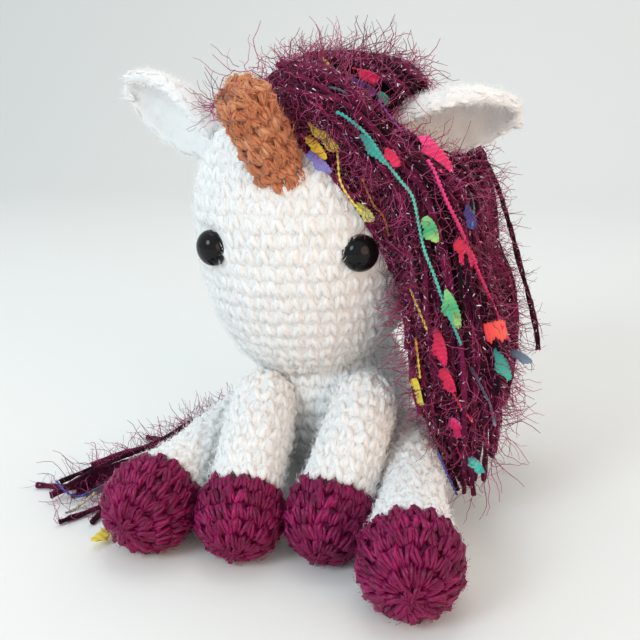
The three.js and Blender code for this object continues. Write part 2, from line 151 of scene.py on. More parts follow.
def keepOffTable(piece, least=0.3 * mm, spread=0.05):
    # loose ends that would go through the table lie on it
    places = np.empty(3 * len(piece.data.vertices))
    piece.data.vertices.foreach_get("co", places)
    heights = places[2::3]
    low = heights < least
    heights[low] = least + spread * (heights[low] - heights.min())
    piece.data.vertices.foreach_set("co", places)
    piece.data.update()


def riding(body):
    return lambda piece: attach(piece, body)


def register(piece, carry, stoodFor=()):
    # the body a piece moves with, and the nodes it is shown for
    carry(piece)
    if stoodFor:
        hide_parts(*stoodFor)


def ringFaces(rings, sides):
    # the faces between rings of corners that follow one another
    after = [(k + 1) % sides for k in range(sides)]
    return [(i * sides + k, i * sides + after[k], (i + 1) * sides + after[k], (i + 1) * sides + k)
            for i in range(rings) for k in range(sides)]


def dome(radius, rise, foot, steps):
    # the end of a profile, from just above its widest ring to its top on the axis
    points = []
    for i in range(1, steps + 1):
        angle = quarterTurn * i / steps
        points.append((radius * math.cos(angle) if i < steps else 0.0, foot + rise * math.sin(angle)))
    return points


def catmull(points, share):
    # a point on a smooth curve through the given points, share from 0 to 1
    points = np.asarray(points, float)
    last = len(points) - 1
    place = min(max(share, 0.0), 1.0) * last
    i = min(int(place), last - 1)
    t = place - i
    before, a, b, after = points[max(i - 1, 0)], points[i], points[i + 1], points[min(i + 2, last)]
    startPull, endPull = (b - before) / 2, (after - a) / 2
    cubic = (2 * a - 2 * b + startPull + endPull) * t ** 3
    square = (-3 * a + 3 * b - 2 * startPull - endPull) * t ** 2
    return cubic + square + startPull * t + a


# Camera: the photograph's place and angle, worked out for an image of 640 by 640

cameraData = {
    "at": Vector((0.080913, -0.278726, 0.149394)),
    "forward": Vector((-0.278062, 0.909500, -0.309017)),
    "right": Vector((0.958319, 0.284644, -0.024556)),
    "up": Vector((-0.065626, 0.302965, 0.950739)),
    # focal length and image width in pixels, the sensor's width in millimetres
    "focal": 830.0, "image": 640.0, "sensor": 36,
    "near": 0.01, "far": 20,
}


def makeCamera(data):
    camera = bpy.data.cameras.new("photoCamera")
    camera.sensor_width = data["sensor"]
    camera.lens = data["focal"] / data["image"] * camera.sensor_width
    camera.clip_start = data["near"]
    camera.clip_end = data["far"]
    obj = newObject("photoCamera", camera)
    turn = Matrix((data["right"], data["up"], -data["forward"])).transposed()
    obj.matrix_world = Matrix.Translation(data["at"]) @ turn.to_4x4()
    bpy.context.scene.camera = obj


def sightLine(across, down):
    # the direction in which the camera sees a place of the image
    half = cameraData["image"] / 2
    sideways = cameraData["right"] * ((across - half) / cameraData["focal"])
    upward = cameraData["up"] * ((half - down) / cameraData["focal"])
    return (cameraData["forward"] + sideways + upward).normalized()


makeCamera(cameraData)


# Room: a pale floor that sweeps up behind, and soft lamps

roomData = {
    "floorShade": (0.80, 0.79, 0.77, 1.0), "floorRoughness": 0.85, "floorSpecular": 0.2,
    "width": 3.2, "front": -1.6, "sweepStart": 0.55, "sweepRadius": 0.5, "sweepSteps": 16, "wallTop": 1.8,
    "worldShade": (0.87, 0.958, 1.0, 1.0), "worldPower": 0.78,
    # lamps: name, place, aim, size, power, colour
    "lamps": [
        ("windowLamp", (-0.48, -0.74, 0.62), (0, -0.02, 0.07), 0.42, 4.05, (0.78, 0.925, 1.0)),
        ("fillLamp", (0.75, -0.55, 0.30), (0, -0.02, 0.06), 0.7, 3.3, (1.0, 0.60, 0.33)),
        ("topLamp", (-0.05, 0.25, 0.85), (0, 0, 0.08), 0.6, 2.0, (1.0, 0.98, 0.95)),
    ],
}


def makeFloor(data):
    radius, start, steps = data["sweepRadius"], data["sweepStart"], data["sweepSteps"]
    outline = [(data["front"], 0.0)]
    for i in range(steps + 1):
        angle = quarterTurn * i / steps
        outline.append((start + radius * math.sin(angle), radius * (1 - math.cos(angle))))
    outline.append((start + radius, data["wallTop"]))
    half = data["width"] / 2
    corners = [(x, y, z) for y, z in outline for x in (-half, half)]
    faces = [(2 * i, 2 * i + 1, 2 * i + 3, 2 * i + 2) for i in range(len(outline) - 1)]
    floor = meshObject("floor", corners, faces)
    smoothShade(floor)
    paint = bpy.data.materials.new("paleFloor")
    paint.use_nodes = True
    shader = paint.node_tree.nodes["Principled BSDF"]
    shader.inputs["Base Color"].default_value = data["floorShade"]
    shader.inputs["Roughness"].default_value = data["floorRoughness"]
    shader.inputs["Specular IOR Level"].default_value = data["floorSpecular"]
    floor.data.materials.append(paint)


def makeLight(data):
    world = bpy.data.worlds.new("softRoom")
    bpy.context.scene.world = world
    world.use_nodes = True
    background = world.node_tree.nodes["Background"]
    background.inputs["Color"].default_value = data["worldShade"]
    background.inputs["Strength"].default_value = data["worldPower"]
    for name, place, aim, size, power, shade in data["lamps"]:
        lamp = bpy.data.lights.new(name, "AREA")
        lamp.shape = "DISK"
        lamp.size = size
        lamp.energy = power
        lamp.color = shade
        back = (Vector(place) - Vector(aim)).normalized()
        turn = back.to_track_quat("Z", "Y").to_matrix().to_4x4()
        newObject(name, lamp).matrix_world = Matrix.Translation(place) @ turn


makeFloor(roomData)
makeLight(roomData)
bpy.context.scene.view_settings.view_transform = "Standard"
say("camera, floor and lamps are up")


# Node helpers, for materials and for Geometry Nodes trees

def put(tree, kind, sockets=None, **settings):
    # adds a node, sets it and links it: a socket as a value is a link
    node = tree.nodes.new(kind)
    for key, value in settings.items():
        setattr(node, key, value)
    for key, value in (sockets or {}).items():
        if isinstance(value, bpy.types.NodeSocket):
            tree.links.new(value, node.inputs[key])
        else:
            node.inputs[key].default_value = value
    return node


def worked(tree, operation, first, second):
    return put(tree, "ShaderNodeMath", {0: first, 1: second}, operation=operation).outputs[0]


def scaled(tree, vector, factor):
    return put(tree, "ShaderNodeVectorMath", {0: vector, "Scale": factor}, operation="SCALE").outputs[0]


def added(tree, first, second):
    return put(tree, "ShaderNodeVectorMath", {0: first, 1: second}, operation="ADD").outputs[0]


def newMaterial(name, data):
    material = bpy.data.materials.new(name)
    material.use_nodes = True
    shader = material.node_tree.nodes["Principled BSDF"]
    shader.inputs["Roughness"].default_value = data["roughness"]
    shader.inputs["Sheen Weight"].default_value = data["sheen"]
    shader.inputs["Sheen Roughness"].default_value = data["sheenRoughness"]
    shader.inputs["Specular IOR Level"].default_value = data["specular"]
    return material, material.node_tree, shader


def objectNoise(tree, scale, **more):
    # noise on the piece's own coordinates
    place = put(tree, "ShaderNodeTexCoord").outputs["Object"]
    return put(tree, "ShaderNodeTexNoise", {"Vector": place, "Scale": scale, **more}).outputs[0]


def mixedShade(tree, share, first, second):
    return put(tree, "ShaderNodeMix", {"Factor": share, 6: first, 7: second}, data_type="RGBA").outputs[2]


def rampShade(tree, share, dark, light, start, end):
    ramp = put(tree, "ShaderNodeValToRGB", {0: share})
    for element, shade, position in zip(ramp.color_ramp.elements, (dark, light), (start, end)):
        element.position = position
        element.color = shade
    return ramp.outputs[0]


def setShade(tree, shader, shade, height=None, strength=0.0, depth=0.0):
    # the base colour and, with a height, the bump
    tree.links.new(shade, shader.inputs["Base Color"])
    if height is not None:
        bump = put(tree, "ShaderNodeBump", {"Strength": strength, "Distance": depth, "Height": height})
        tree.links.new(bump.outputs[0], shader.inputs["Normal"])


# Yarn: fibres drawn out along each ply, lighter on their ridges as painted highlight and darker in their
# grooves as painted shade, a tone for each stitch and a skin between them darkened as painted shade

# the crest colour holds where the streaks stand high, partly the yarn's own streaks and partly painted
# highlight; the groove colour holds where they lie low, painted shade
yarns = {
    "white": {
        "crest": tint(245, 244, 243), "groovePaintedShade": tint(231, 230, 229), "second": tint(239, 238, 237),
        "soft": 0.0, "gapPaintedShade": 0.95, "roughness": 0.9, "sheen": 0.25, "specular": 0.15,
        "fibres": 7.0, "fibreRuns": 1.6, "cloudScale": 120.0, "bump": 0.4, "bumpDepth": 0.0003,
    },
    "plum": {
        "crest": tint(194, 42, 116), "groovePaintedShade": tint(32, 0, 15), "second": tint(80, 5, 43),
        "soft": 0.0, "gapPaintedShade": 0.35, "roughness": 0.34, "sheen": 0.0, "specular": 0.24,
        "fibres": 6.0, "fibreRuns": 1.4, "cloudScale": 160.0, "bump": 0.8, "bumpDepth": 0.0004,
    },
    "copper": {
        "crest": tint(255, 187, 138), "groovePaintedShade": tint(92, 36, 18), "second": tint(172, 86, 54),
        "soft": 0.1, "gapPaintedShade": 0.75, "roughness": 0.6, "sheen": 0.2, "specular": 0.2,
        "fibres": 6.0, "fibreRuns": 1.4, "cloudScale": 110.0, "bump": 0.5, "bumpDepth": 0.0003,
    },
}
yarnShared = {
    "sheenRoughness": 0.45, "softRadius": (1.0, 0.9, 0.85), "softScale": 0.003, "apart": (40.0, 40.0, 40.0),
    "streakDetail": 3.0, "streakRoughness": 0.6, "cloudDetail": 2.0, "valleyAt": 0.30, "crestAt": 0.66,
    "toneShare": 0.5, "cloudShare": 0.4, "skinTone": 0.05,
}


def yarnMaterial(name, data, shared):
    material, tree, shader = newMaterial(name, {**shared, **data})
    shader.inputs["Subsurface Weight"].default_value = data["soft"]
    shader.inputs["Subsurface Radius"].default_value = shared["softRadius"]
    shader.inputs["Subsurface Scale"].default_value = shared["softScale"]
    strand = put(tree, "ShaderNodeUVMap", uv_map="strand").outputs[0]
    tone = put(tree, "ShaderNodeAttribute", attribute_name="tone").outputs["Fac"]
    lengths = (data["fibres"], data["fibreRuns"], 1.0)
    drawn = put(tree, "ShaderNodeVectorMath", {0: strand, 1: lengths}, operation="MULTIPLY").outputs[0]
    own = put(tree, "ShaderNodeCombineXYZ", {0: tone, 1: tone, 2: tone}).outputs[0]
    shifted = put(tree, "ShaderNodeVectorMath", {0: own, 1: shared["apart"], 2: drawn},
                  operation="MULTIPLY_ADD")
    streak = put(tree, "ShaderNodeTexNoise", {
        "Vector": shifted.outputs[0], "Scale": 1.0, "Detail": shared["streakDetail"],
        "Roughness": shared["streakRoughness"]}).outputs[0]
    cloud = objectNoise(tree, data["cloudScale"], Detail=shared["cloudDetail"])
    # the streak noise also lifts the bump, so this ramp gives painted highlight on the ridges and painted shade
    # in the grooves
    fibres = rampShade(tree, streak, data["groovePaintedShade"], data["crest"], shared["valleyAt"], shared["crestAt"])
    toneShare = worked(tree, "MULTIPLY", tone, shared["toneShare"])
    share = put(tree, "ShaderNodeMath", {0: cloud, 1: shared["cloudShare"], 2: toneShare},
                operation="MULTIPLY_ADD")
    mixed = mixedShade(tree, share.outputs[0], fibres, data["second"])
    # the skin has no stitch tone and is darkened by the gap factor: painted shade between the stitches
    gap = put(tree, "ShaderNodeMapRange", {0: tone, 1: 0.0, 2: shared["skinTone"], 3: data["gapPaintedShade"], 4: 1.0})
    setShade(tree, shader, scaled(tree, mixed, gap.outputs[0]), streak, data["bump"], data["bumpDepth"])
    return material


yarnPaint = {name: yarnMaterial(name + "Yarn", data, yarnShared) for name, data in yarns.items()}


# Fuzz, nylon and filling: two shades in a cloud

fuzzPaintData = {
    "roughness": 0.95, "sheenRoughness": 0.4, "specular": 0.1,
    "scale": 500.0, "noise": {}, "bump": 0, "bumpDepth": 0,
    "darker": 0.88, "sheen": {"white": 0.3, "plum": 0.2, "copper": 0.2},
    "shades": {"white": tint(255, 254, 253), "plum": tint(160, 40, 98), "copper": tint(224, 160, 122)},
}
nylonData = {
    "shades": (tint(218, 218, 214), tint(232, 232, 228)), "roughness": 0.4, "sheen": 0.0, "sheenRoughness": 0.5,
    "specular": 0.45, "scale": 300.0, "noise": {}, "bump": 0.1, "bumpDepth": 0.0002,
}
fillingData = {
    "shades": (tint(224, 224, 220), tint(250, 250, 247)), "roughness": 1.0, "sheen": 0.4, "sheenRoughness": 0.6,
    "specular": 0.05, "scale": 700.0, "noise": {"Detail": 4.0, "Distortion": 2.0},
    "bump": 0.6, "bumpDepth": 0.0006,
}


def cloudMaterial(name, data):
    material, tree, shader = newMaterial(name, data)
    cloud = objectNoise(tree, data["scale"], **data["noise"])
    height = cloud if data["bump"] else None
    setShade(tree, shader, mixedShade(tree, cloud, *data["shades"]), height, data["bump"], data["bumpDepth"])
    return material


def fuzzMaterial(yarn, data):
    # the loose hairs of a yarn, a little uneven in tone
    shade = data["shades"][yarn]
    darker = tuple(data["darker"] * c for c in shade[:3]) + (1.0,)
    return cloudMaterial(yarn + "Fuzz", {**data, "shades": (darker, shade), "sheen": data["sheen"][yarn]})


fuzzPaint = {name: fuzzMaterial(name, fuzzPaintData) for name in yarns}
washerPaint, fillingPaint = cloudMaterial("washerNylon", nylonData), cloudMaterial("looseFilling", fillingData)


# One crochet stitch: two plied legs that meet low and lean apart, a unit wide and high, out along +Y

stitchData = {
    "line": [(0.02, -0.44, -0.54), (0.15, -0.16, -0.24), (0.36, -0.10, 0.12), (0.50, -0.36, 0.46)],
    "thick": [0.16, 0.30, 0.32, 0.18], "skew": 0.14, "shapes": 8,
    "yarns": {
        "white": {"plies": 2, "plyOut": 0.40, "plyThick": 0.74, "sides": 5, "jitter": 0.09, "twist": 2.8},
        "plum": {"plies": 3, "plyOut": 0.49, "plyThick": 0.57, "sides": 4, "jitter": 0.09, "twist": 3.4},
        "copper": {"plies": 3, "plyOut": 0.51, "plyThick": 0.57, "sides": 4, "jitter": 0.12, "twist": 3.4},
    },
}
tuftData = {
    "hairs": 12, "shapes": 5, "half": 0.017, "length": (0.22, 0.56), "along": (0.1, 0.85), "round": 1.2,
    "root": 0.9, "outward": (0.05, 0.5), "aside": 0.4,
}
spikeAngles = (0.0, 2.1, 4.2)
spikeFaces = [(0, 1, 3), (1, 2, 3), (2, 0, 3), (2, 1, 0)]


def alongLine(line, i):
    # the direction in which a line runs at one of its points
    return (line[min(i + 1, len(line) - 1)] - line[max(i - 1, 0)]).normalized()


def scattered(draw, x, y, z):
    return Vector((draw.uniform(-x, x), draw.uniform(-y, y), draw.uniform(-z, z)))


def tubeAlong(line, thick, sides):
    # rings round a line, as corners, faces and a UV for each face corner
    corners, marks = [], []
    side = depthAxis
    for i, centre in enumerate(line):
        ahead = alongLine(line, i)
        side = (side - ahead * side.dot(ahead)).normalized()
        other = ahead.cross(side)
        for k in range(sides):
            angle = fullTurn * k / sides
            corners.append(centre + (side * math.cos(angle) + other * math.sin(angle)) * thick[i])
    spans = len(line) - 1
    faces = ringFaces(spans, sides)
    for i in range(spans):
        for k in range(sides):
            marks.append([(k / sides, i / spans), ((k + 1) / sides, i / spans),
                          ((k + 1) / sides, (i + 1) / spans), (k / sides, (i + 1) / spans)])
    faces += [tuple(reversed(range(sides))), tuple(spans * sides + k for k in range(sides))]
    marks += [[(0.5, 0.0)] * sides, [(0.5, 1.0)] * sides]
    return corners, faces, marks


def shapeSet(name, shapes):
    # shapes of one kind kept together, so that a tree can pick among them
    kept = bpy.data.collections.new(name)
    for shape in shapes:
        facesOut(shape)
        bpy.context.scene.collection.objects.unlink(shape)
        kept.objects.link(shape)
    return kept


def makeStitches(name, data, yarn, seed):
    draw = random.Random(seed)
    stitches = []
    for i in range(data["shapes"]):
        corners, faces, marks = [], [], []
        for mirror in (1, -1):
            wild = [scattered(draw, 1, 1, 1) * yarn["jitter"] for place in data["line"]]
            leg = [Vector((mirror * x + data["skew"] * z, y, z)) + w
                   for (x, y, z), w in zip(data["line"], wild)]
            first = draw.uniform(0, drawnTurn)
            for ply in range(yarn["plies"]):
                line = []
                for s, centre in enumerate(leg):
                    ahead = alongLine(leg, s)
                    side = (depthAxis - ahead * ahead.y).normalized()
                    angle = first + fullTurn * ply / yarn["plies"] + mirror * yarn["twist"] * s / (len(leg) - 1)
                    way = side * math.cos(angle) + ahead.cross(side) * math.sin(angle)
                    line.append(centre + way * data["thick"][s] * yarn["plyOut"])
                some = tubeAlong(line, [yarn["plyThick"] * t for t in data["thick"]], yarn["sides"])
                faces += [tuple(len(corners) + c for c in face) for face in some[1]]
                corners += some[0]
                marks += some[2]
        stitch = meshObject(f"{name}{i}", corners, faces)
        layer = stitch.data.uv_layers.new(name="strand")
        layer.data.foreach_set("uv", [v for face in marks for mark in face for v in mark])
        smoothShade(stitch)
        stitches.append(stitch)
    return shapeSet(name + "Set", stitches)


def makeTufts(name, stitch, tuft, seed):
    # loose fibre ends that lie along the legs of a stitch and fan out from them, each a closed spike
    draw = random.Random(seed)
    tufts = []
    for i in range(tuft["shapes"]):
        corners, faces = [], []
        for hair in range(tuft["hairs"]):
            mirror = 1 if hair % 2 else -1
            t = draw.uniform(*tuft["along"]) * (len(stitch["line"]) - 1)
            s = min(int(t), len(stitch["line"]) - 2)
            low, high = (Vector((mirror * p[0], p[1], p[2])) for p in stitch["line"][s:s + 2])
            ahead = (high - low).normalized()
            side = (depthAxis - ahead * ahead.y).normalized()
            angle = draw.uniform(-tuft["round"], tuft["round"])
            out = side * math.cos(angle) + ahead.cross(side) * math.sin(angle)
            root = low.lerp(high, t - s) + out * stitch["thick"][s] * tuft["root"]
            fan = out * draw.uniform(*tuft["outward"])
            way = (ahead + fan + Vector((draw.uniform(-tuft["aside"], tuft["aside"]), 0, 0))).normalized()
            length = draw.uniform(*tuft["length"])
            first, second = way.orthogonal().normalized(), way.cross(way.orthogonal()).normalized()
            faces += [tuple(len(corners) + c for c in face) for face in spikeFaces]
            corners += [root + (first * math.cos(a) + second * math.sin(a)) * tuft["half"] for a in spikeAngles]
            corners.append(root + way * length)
        tufts.append(meshObject(f"{name}{i}", corners, faces))
    return shapeSet(name + "Set", tufts)


def makeSpike(name):
    # a thin hair one unit long along +Z and one unit thick, closed
    corners = [(0.5 * math.cos(angle), 0.5 * math.sin(angle), 0) for angle in spikeAngles] + [(0, 0, 1)]
    spike = meshObject(name, corners, spikeFaces)
    facesOut(spike)
    return spike


stitchSets = {name: makeStitches(name + "Stitch", stitchData, yarn, seed=20 + i)
              for i, (name, yarn) in enumerate(stitchData["yarns"].items())}
tuftSet = makeTufts("tuft", stitchData, tuftData, seed=30)
shortHair = makeSpike("shortHair")


# Geometry Nodes trees

def newTree(name, sizes):
    tree = bpy.data.node_groups.new(name, "GeometryNodeTree")
    face = tree.interface
    face.new_socket("Geometry", in_out="INPUT", socket_type="NodeSocketGeometry")
    for label, kind, value in sizes:
        socket = face.new_socket(label, in_out="INPUT", socket_type="NodeSocket" + kind)
        if value is not None:
            socket.default_value = value
    face.new_socket("Geometry", in_out="OUTPUT", socket_type="NodeSocketGeometry")
    tree.is_modifier = True
    return tree, tree.nodes.new("NodeGroupInput").outputs


def endTree(tree, geometry, yarn):
    painted = put(tree, "GeometryNodeSetMaterial", {"Geometry": geometry, "Material": yarn})
    tree.links.new(painted.outputs[0], tree.nodes.new("NodeGroupOutput").inputs[0])
    return tree


def runTree(name, obj, tree, **values):
    # sets the tree's named inputs and turns the result into a plain mesh
    modifier = obj.modifiers.new(tree.name, "NODES")
    modifier.node_group = tree
    for socket in tree.interface.items_tree:
        if socket.in_out == "INPUT" and socket.name in values:
            modifier[socket.identifier] = values[socket.name]
    mesh = evaluatedMesh(obj)
    mesh.name = name
    return newObject(name, mesh)


def chanceVector(tree, seed=0, reach=1.0):
    bounds = {0: (-reach,) * 3, 1: (reach,) * 3, "Seed": seed}
    return put(tree, "FunctionNodeRandomValue", bounds, data_type="FLOAT_VECTOR").outputs[0]


def chanceValue(tree, low, high, seed):
    return put(tree, "FunctionNodeRandomValue", {2: low, 3: high, "Seed": seed}, data_type="FLOAT").outputs[1]


def namedVector(tree, name):
    node = put(tree, "GeometryNodeInputNamedAttribute", {"Name": name}, data_type="FLOAT_VECTOR")
    return node.outputs["Attribute"]


def objectShape(tree, obj):
    return put(tree, "GeometryNodeObjectInfo", {"Object": obj}).outputs["Geometry"]


def alignedTo(tree, way):
    return put(tree, "FunctionNodeAlignRotationToVector", {"Vector": way}, axis="Z").outputs[0]


def turnedMore(tree, turn, more):
    return put(tree, "FunctionNodeRotateRotation", {0: turn, 1: more}, rotation_space="LOCAL").outputs[0]


def moved(tree, geometry, offset):
    return put(tree, "GeometryNodeSetPosition", {"Geometry": geometry, "Offset": offset}).outputs[0]


def toned(tree, geometry, tone, domain="INSTANCE"):
    named = {"Geometry": geometry, "Name": "tone", "Value": tone}
    return put(tree, "GeometryNodeStoreNamedAttribute", named, data_type="FLOAT", domain=domain).outputs[0]


def madeReal(tree, geometry):
    return put(tree, "GeometryNodeRealizeInstances", {0: geometry}).outputs[0]


def stitchAxes(tree):
    # a stitch's turn from the directions of its round
    axes = {"Primary Axis": namedVector(tree, "upward"), "Secondary Axis": namedVector(tree, "outward")}
    return put(tree, "FunctionNodeAxesToRotation", axes, primary_axis="Z", secondary_axis="Y").outputs[0]


def pickedShapes(tree, points, shapes, turn, size):
    # a shape of the collection at each point
    each = {"Collection": shapes, "Separate Children": True, "Reset Children": True}
    picked = put(tree, "GeometryNodeCollectionInfo", each).outputs[0]
    placed = {"Points": points, "Instance": picked, "Pick Instance": True, "Rotation": turn, "Scale": size}
    return put(tree, "GeometryNodeInstanceOnPoints", placed).outputs[0]


def makeStitchTree():
    tree, given = newTree("crochetRounds", [
        ("Rounds", "Object", None), ("Stitches", "Collection", None), ("Uneven", "Float", 0.11),
        ("Lean", "Float", 0.18), ("Seed", "Int", 1), ("Yarn", "Material", None),
    ])
    least = worked(tree, "MULTIPLY", given["Lean"], -1.0)
    tilt = chanceValue(tree, least, given["Lean"], given["Seed"])
    tilted = put(tree, "ShaderNodeCombineXYZ", {0: tilt, 1: tilt}).outputs[0]
    small, large = (worked(tree, way, 1.0, given["Uneven"]) for way in ("SUBTRACT", "ADD"))
    size = scaled(tree, namedVector(tree, "stitchSize"), chanceValue(tree, small, large, seed=7))
    turn = turnedMore(tree, stitchAxes(tree), tilted)
    placed = pickedShapes(tree, objectShape(tree, given["Rounds"]), given["Stitches"], turn, size)
    real = madeReal(tree, toned(tree, placed, chanceValue(tree, 0.1, 1.0, seed=3)))
    joined = put(tree, "GeometryNodeJoinGeometry")
    for part in (given["Geometry"], real):
        tree.links.new(part, joined.inputs[0])
    return endTree(tree, joined.outputs[0], given["Yarn"])


def makeFuzzTree():
    tree, given = newTree("looseHairs", [
        ("Hair", "Object", None), ("Density", "Float", 1e6), ("Length", "Float", 0.002),
        ("Shortest", "Float", 0.45), ("Thickness", "Float", 0.00012), ("Spread", "Float", 0.9),
        ("Seed", "Int", 1), ("Yarn", "Material", None),
    ])
    spots = put(tree, "GeometryNodeDistributePointsOnFaces", {
        "Mesh": given["Geometry"], "Density": given["Density"], "Seed": given["Seed"]}).outputs
    way = added(tree, spots["Normal"], scaled(tree, chanceVector(tree, seed=11), given["Spread"]))
    length = worked(tree, "MULTIPLY", given["Length"], chanceValue(tree, given["Shortest"], 1.0, seed=5))
    thick = given["Thickness"]
    size = put(tree, "ShaderNodeCombineXYZ", {0: thick, 1: thick, 2: length}).outputs[0]
    placed = put(tree, "GeometryNodeInstanceOnPoints", {
        "Points": spots["Points"], "Instance": objectShape(tree, given["Hair"]),
        "Rotation": alignedTo(tree, way), "Scale": size}).outputs[0]
    return endTree(tree, madeReal(tree, placed), given["Yarn"])


def makeTuftTree():
    tree, given = newTree("combedFibres", [
        ("Tufts", "Collection", None), ("Layers", "Int", 3), ("Shift", "Float", 0.0006), ("Lean", "Float", 0.3),
        ("Seed", "Int", 1), ("Yarn", "Material", None),
    ])
    layers = {"Geometry": given["Geometry"], "Amount": given["Layers"]}
    more = put(tree, "GeometryNodeDuplicateElements", layers, domain="POINT").outputs[0]
    points = moved(tree, more, scaled(tree, chanceVector(tree, given["Seed"]), given["Shift"]))
    turn = turnedMore(tree, stitchAxes(tree), scaled(tree, chanceVector(tree, seed=17), given["Lean"]))
    placed = pickedShapes(tree, points, given["Tufts"], turn, namedVector(tree, "stitchSize"))
    return endTree(tree, madeReal(tree, placed), given["Yarn"])


stitchTree, tuftTree, fuzzTree = makeStitchTree(), makeTuftTree(), makeFuzzTree()


# Crochet over a turned shape: a profile of radius and height round an axis

roundShares = {
    # how far the stitches of a round are shifted against the round below
    "lag": 0.5, "lagSwing": 0.11, "lagPace": 1.7,
    # how far a round climbs, and the sizes of its stitches as shares of their places
    "climb": 0.9, "wide": 1.04, "deep": 0.88, "high": 1.12, "narrowest": 0.55, "fewest": 5,
}
whiteFuzz = {
    "layers": 3, "lean": 0.35, "shift": 0.0008,
    "density": 0.19e6, "length": 0.0030, "thickness": 0.00012, "spread": 0.9,
}
plumFuzz = {**whiteFuzz, "layers": 1, "lean": 0.3, "density": 0.14e6, "length": 0.0022, "thickness": 0.00010}
copperFuzz = {**whiteFuzz, "layers": 2, "lean": 0.3, "density": 0.2e6, "length": 0.0024, "thickness": 0.00011}


def axisFrame(at, direction):
    z = Vector(direction).normalized()
    hint = upAxis if abs(z.z) < 0.9 else depthAxis
    x = hint.cross(z).normalized()
    turn = Matrix((x, z.cross(x), z)).transposed().to_4x4()
    return Matrix.Translation(Vector(at)) @ turn


def profileTable(profile):
    # the profile's points, and how far along it each one lies
    profile = np.asarray(profile, float)
    steps = np.linalg.norm(np.diff(profile, axis=0), axis=1)
    return profile, np.concatenate([[0], np.cumsum(steps)])


def profileAt(table, along, nudge=0.01):
    # the radius and height at a place of the profile, and the direction in which it runs on
    profile, reach = table
    along = min(max(along, 0.0), reach[-1])
    radius, height = (np.interp(along, reach, profile[:, c]) for c in (0, 1))
    step = reach[-1] * nudge
    low, high = max(along - step, 0.0), min(along + step, reach[-1])
    onward = np.array([np.interp(high, reach, column) - np.interp(low, reach, column)
                       for column in (profile[:, 0], profile[:, 1])])
    onward /= np.linalg.norm(onward)
    return radius, height, onward


def ringCorners(radius, height, sides):
    angles = [fullTurn * k / sides for k in range(sides)]
    return [Vector((radius * math.cos(angle), radius * math.sin(angle), height)) for angle in angles]


def closedIn(profile, atStart, atEnd):
    # an open end of a profile turned in to the axis, for a skin that is closed
    points = list(profile)
    if atStart:
        points = [(0.0, points[0][1])] + points
    if atEnd:
        points = points + [(0.0, points[-1][1])]
    return points


def turnedSkin(profile, placing, inset, sides, rings, warp, least=0.0002):
    # the closed skin under the stitches
    table = profileTable(profile)
    corners, faces = [], []
    for i in range(rings + 1):
        radius, height, onward = profileAt(table, table[1][-1] * i / rings)
        radius, height = radius - inset * onward[1], height + inset * onward[0]
        atEnd = i in (0, rings)
        corners += [Vector((0, 0, height))] if atEnd else ringCorners(max(radius, least), height, sides)
    last = len(corners) - 1
    for k in range(sides):
        after = (k + 1) % sides
        faces.append((0, 1 + after, 1 + k))
        faces.append((last, last - sides + k, last - sides + after))
        for i in range(rings - 2):
            a, b = 1 + i * sides + k, 1 + i * sides + after
            faces.append((a, b, b + sides, a + sides))
    skin = meshObject("skin", [warp(placing @ c) for c in corners], faces)
    plainStrandMarks(skin)
    smoothShade(skin)
    return skin


def turnedRounds(profile, placing, data, shares, start, skip, warp, seed):
    # stitches in a climbing spiral, as crochet is worked: places, directions and sizes for the tree
    table = profileTable(profile)
    turn = placing.to_3x3()
    stitch, whole = data["stitch"], table[1][-1]
    rows = max(2, round(whole * (1 - start) / data["row"]))
    step = whole * (1 - start) / rows
    places, outs, ups, sizes = [], [], [], []
    lag = 0.0
    for row in range(rows):
        middle = whole * start + (row + 0.5) * step
        count = max(shares["fewest"], round(fullTurn * profileAt(table, middle)[0] / stitch))
        lag += shares["lag"] + shares["lagSwing"] * math.sin(shares["lagPace"] * row + seed)
        for k in range(count):
            along = middle + (k / count - 0.5) * step * shares["climb"]
            radius, height, onward = profileAt(table, along)
            angle = fullTurn * (k + lag) / count
            spoke = Vector((math.cos(angle), math.sin(angle), 0))
            at = warp(placing @ (spoke * radius + upAxis * height))
            if skip and skip(at):
                continue
            wide = fullTurn * max(radius, stitch * shares["narrowest"]) / count
            places.append(at)
            outs.append(turn @ (spoke * onward[1] - upAxis * onward[0]))
            ups.append(turn @ (spoke * onward[0] + upAxis * onward[1]))
            sizes.append((wide * shares["wide"], stitch * shares["deep"], step * shares["high"]))
    rounds = meshObject("rounds", places)
    storeVectors(rounds, outward=outs, upward=ups, stitchSize=sizes)
    return rounds


def crochetPiece(name, skin, rounds, yarn, body, node, seed, fuzz):
    # stitches on their skin, the combed fibres on them and the short hairs that stand off
    carry, slot, paint = riding(body), yarn + "_yarn", fuzzPaint[yarn]
    piece = runTree(name, skin, stitchTree, Rounds=rounds, Stitches=stitchSets[yarn], Seed=seed,
                    Yarn=yarnPaint[yarn])
    keepOffTable(piece)
    register(piece, carry, (node,))
    fibres = runTree(name + "Fibres", rounds, tuftTree, Tufts=tuftSet, Layers=fuzz["layers"],
                     Shift=fuzz["shift"], Lean=fuzz["lean"], Seed=seed + 1, Yarn=paint)
    hairs = runTree(name + "Fuzz", piece, fuzzTree, Hair=shortHair, Density=fuzz["density"],
                    Length=fuzz["length"], Thickness=fuzz["thickness"], Spread=fuzz["spread"],
                    Seed=seed, Yarn=paint)
    for loose in (fibres, hairs):
        keepOffTable(loose)
        register(loose, carry)
    dropObject(rounds)
    dropObject(skin)
    say(f"{name}: {len(piece.data.polygons)} faces")


def crochetTurned(name, yarn, body, node, profile, placing, data, inset, net, seed, fuzz, roundSeed=1,
                  closed=(False, False), start=0.0, skip=None, warp=Vector.copy):
    # net: the skin's sides and rings; closed: whether the skin's start and end are turned in
    rounds = turnedRounds(profile, placing, data, roundShares, start, skip, warp, roundSeed)
    skin = turnedSkin(closedIn(profile, *closed), placing, inset, *net, warp)
    crochetPiece(name, skin, rounds, yarn, body, node, seed, fuzz)


# Head

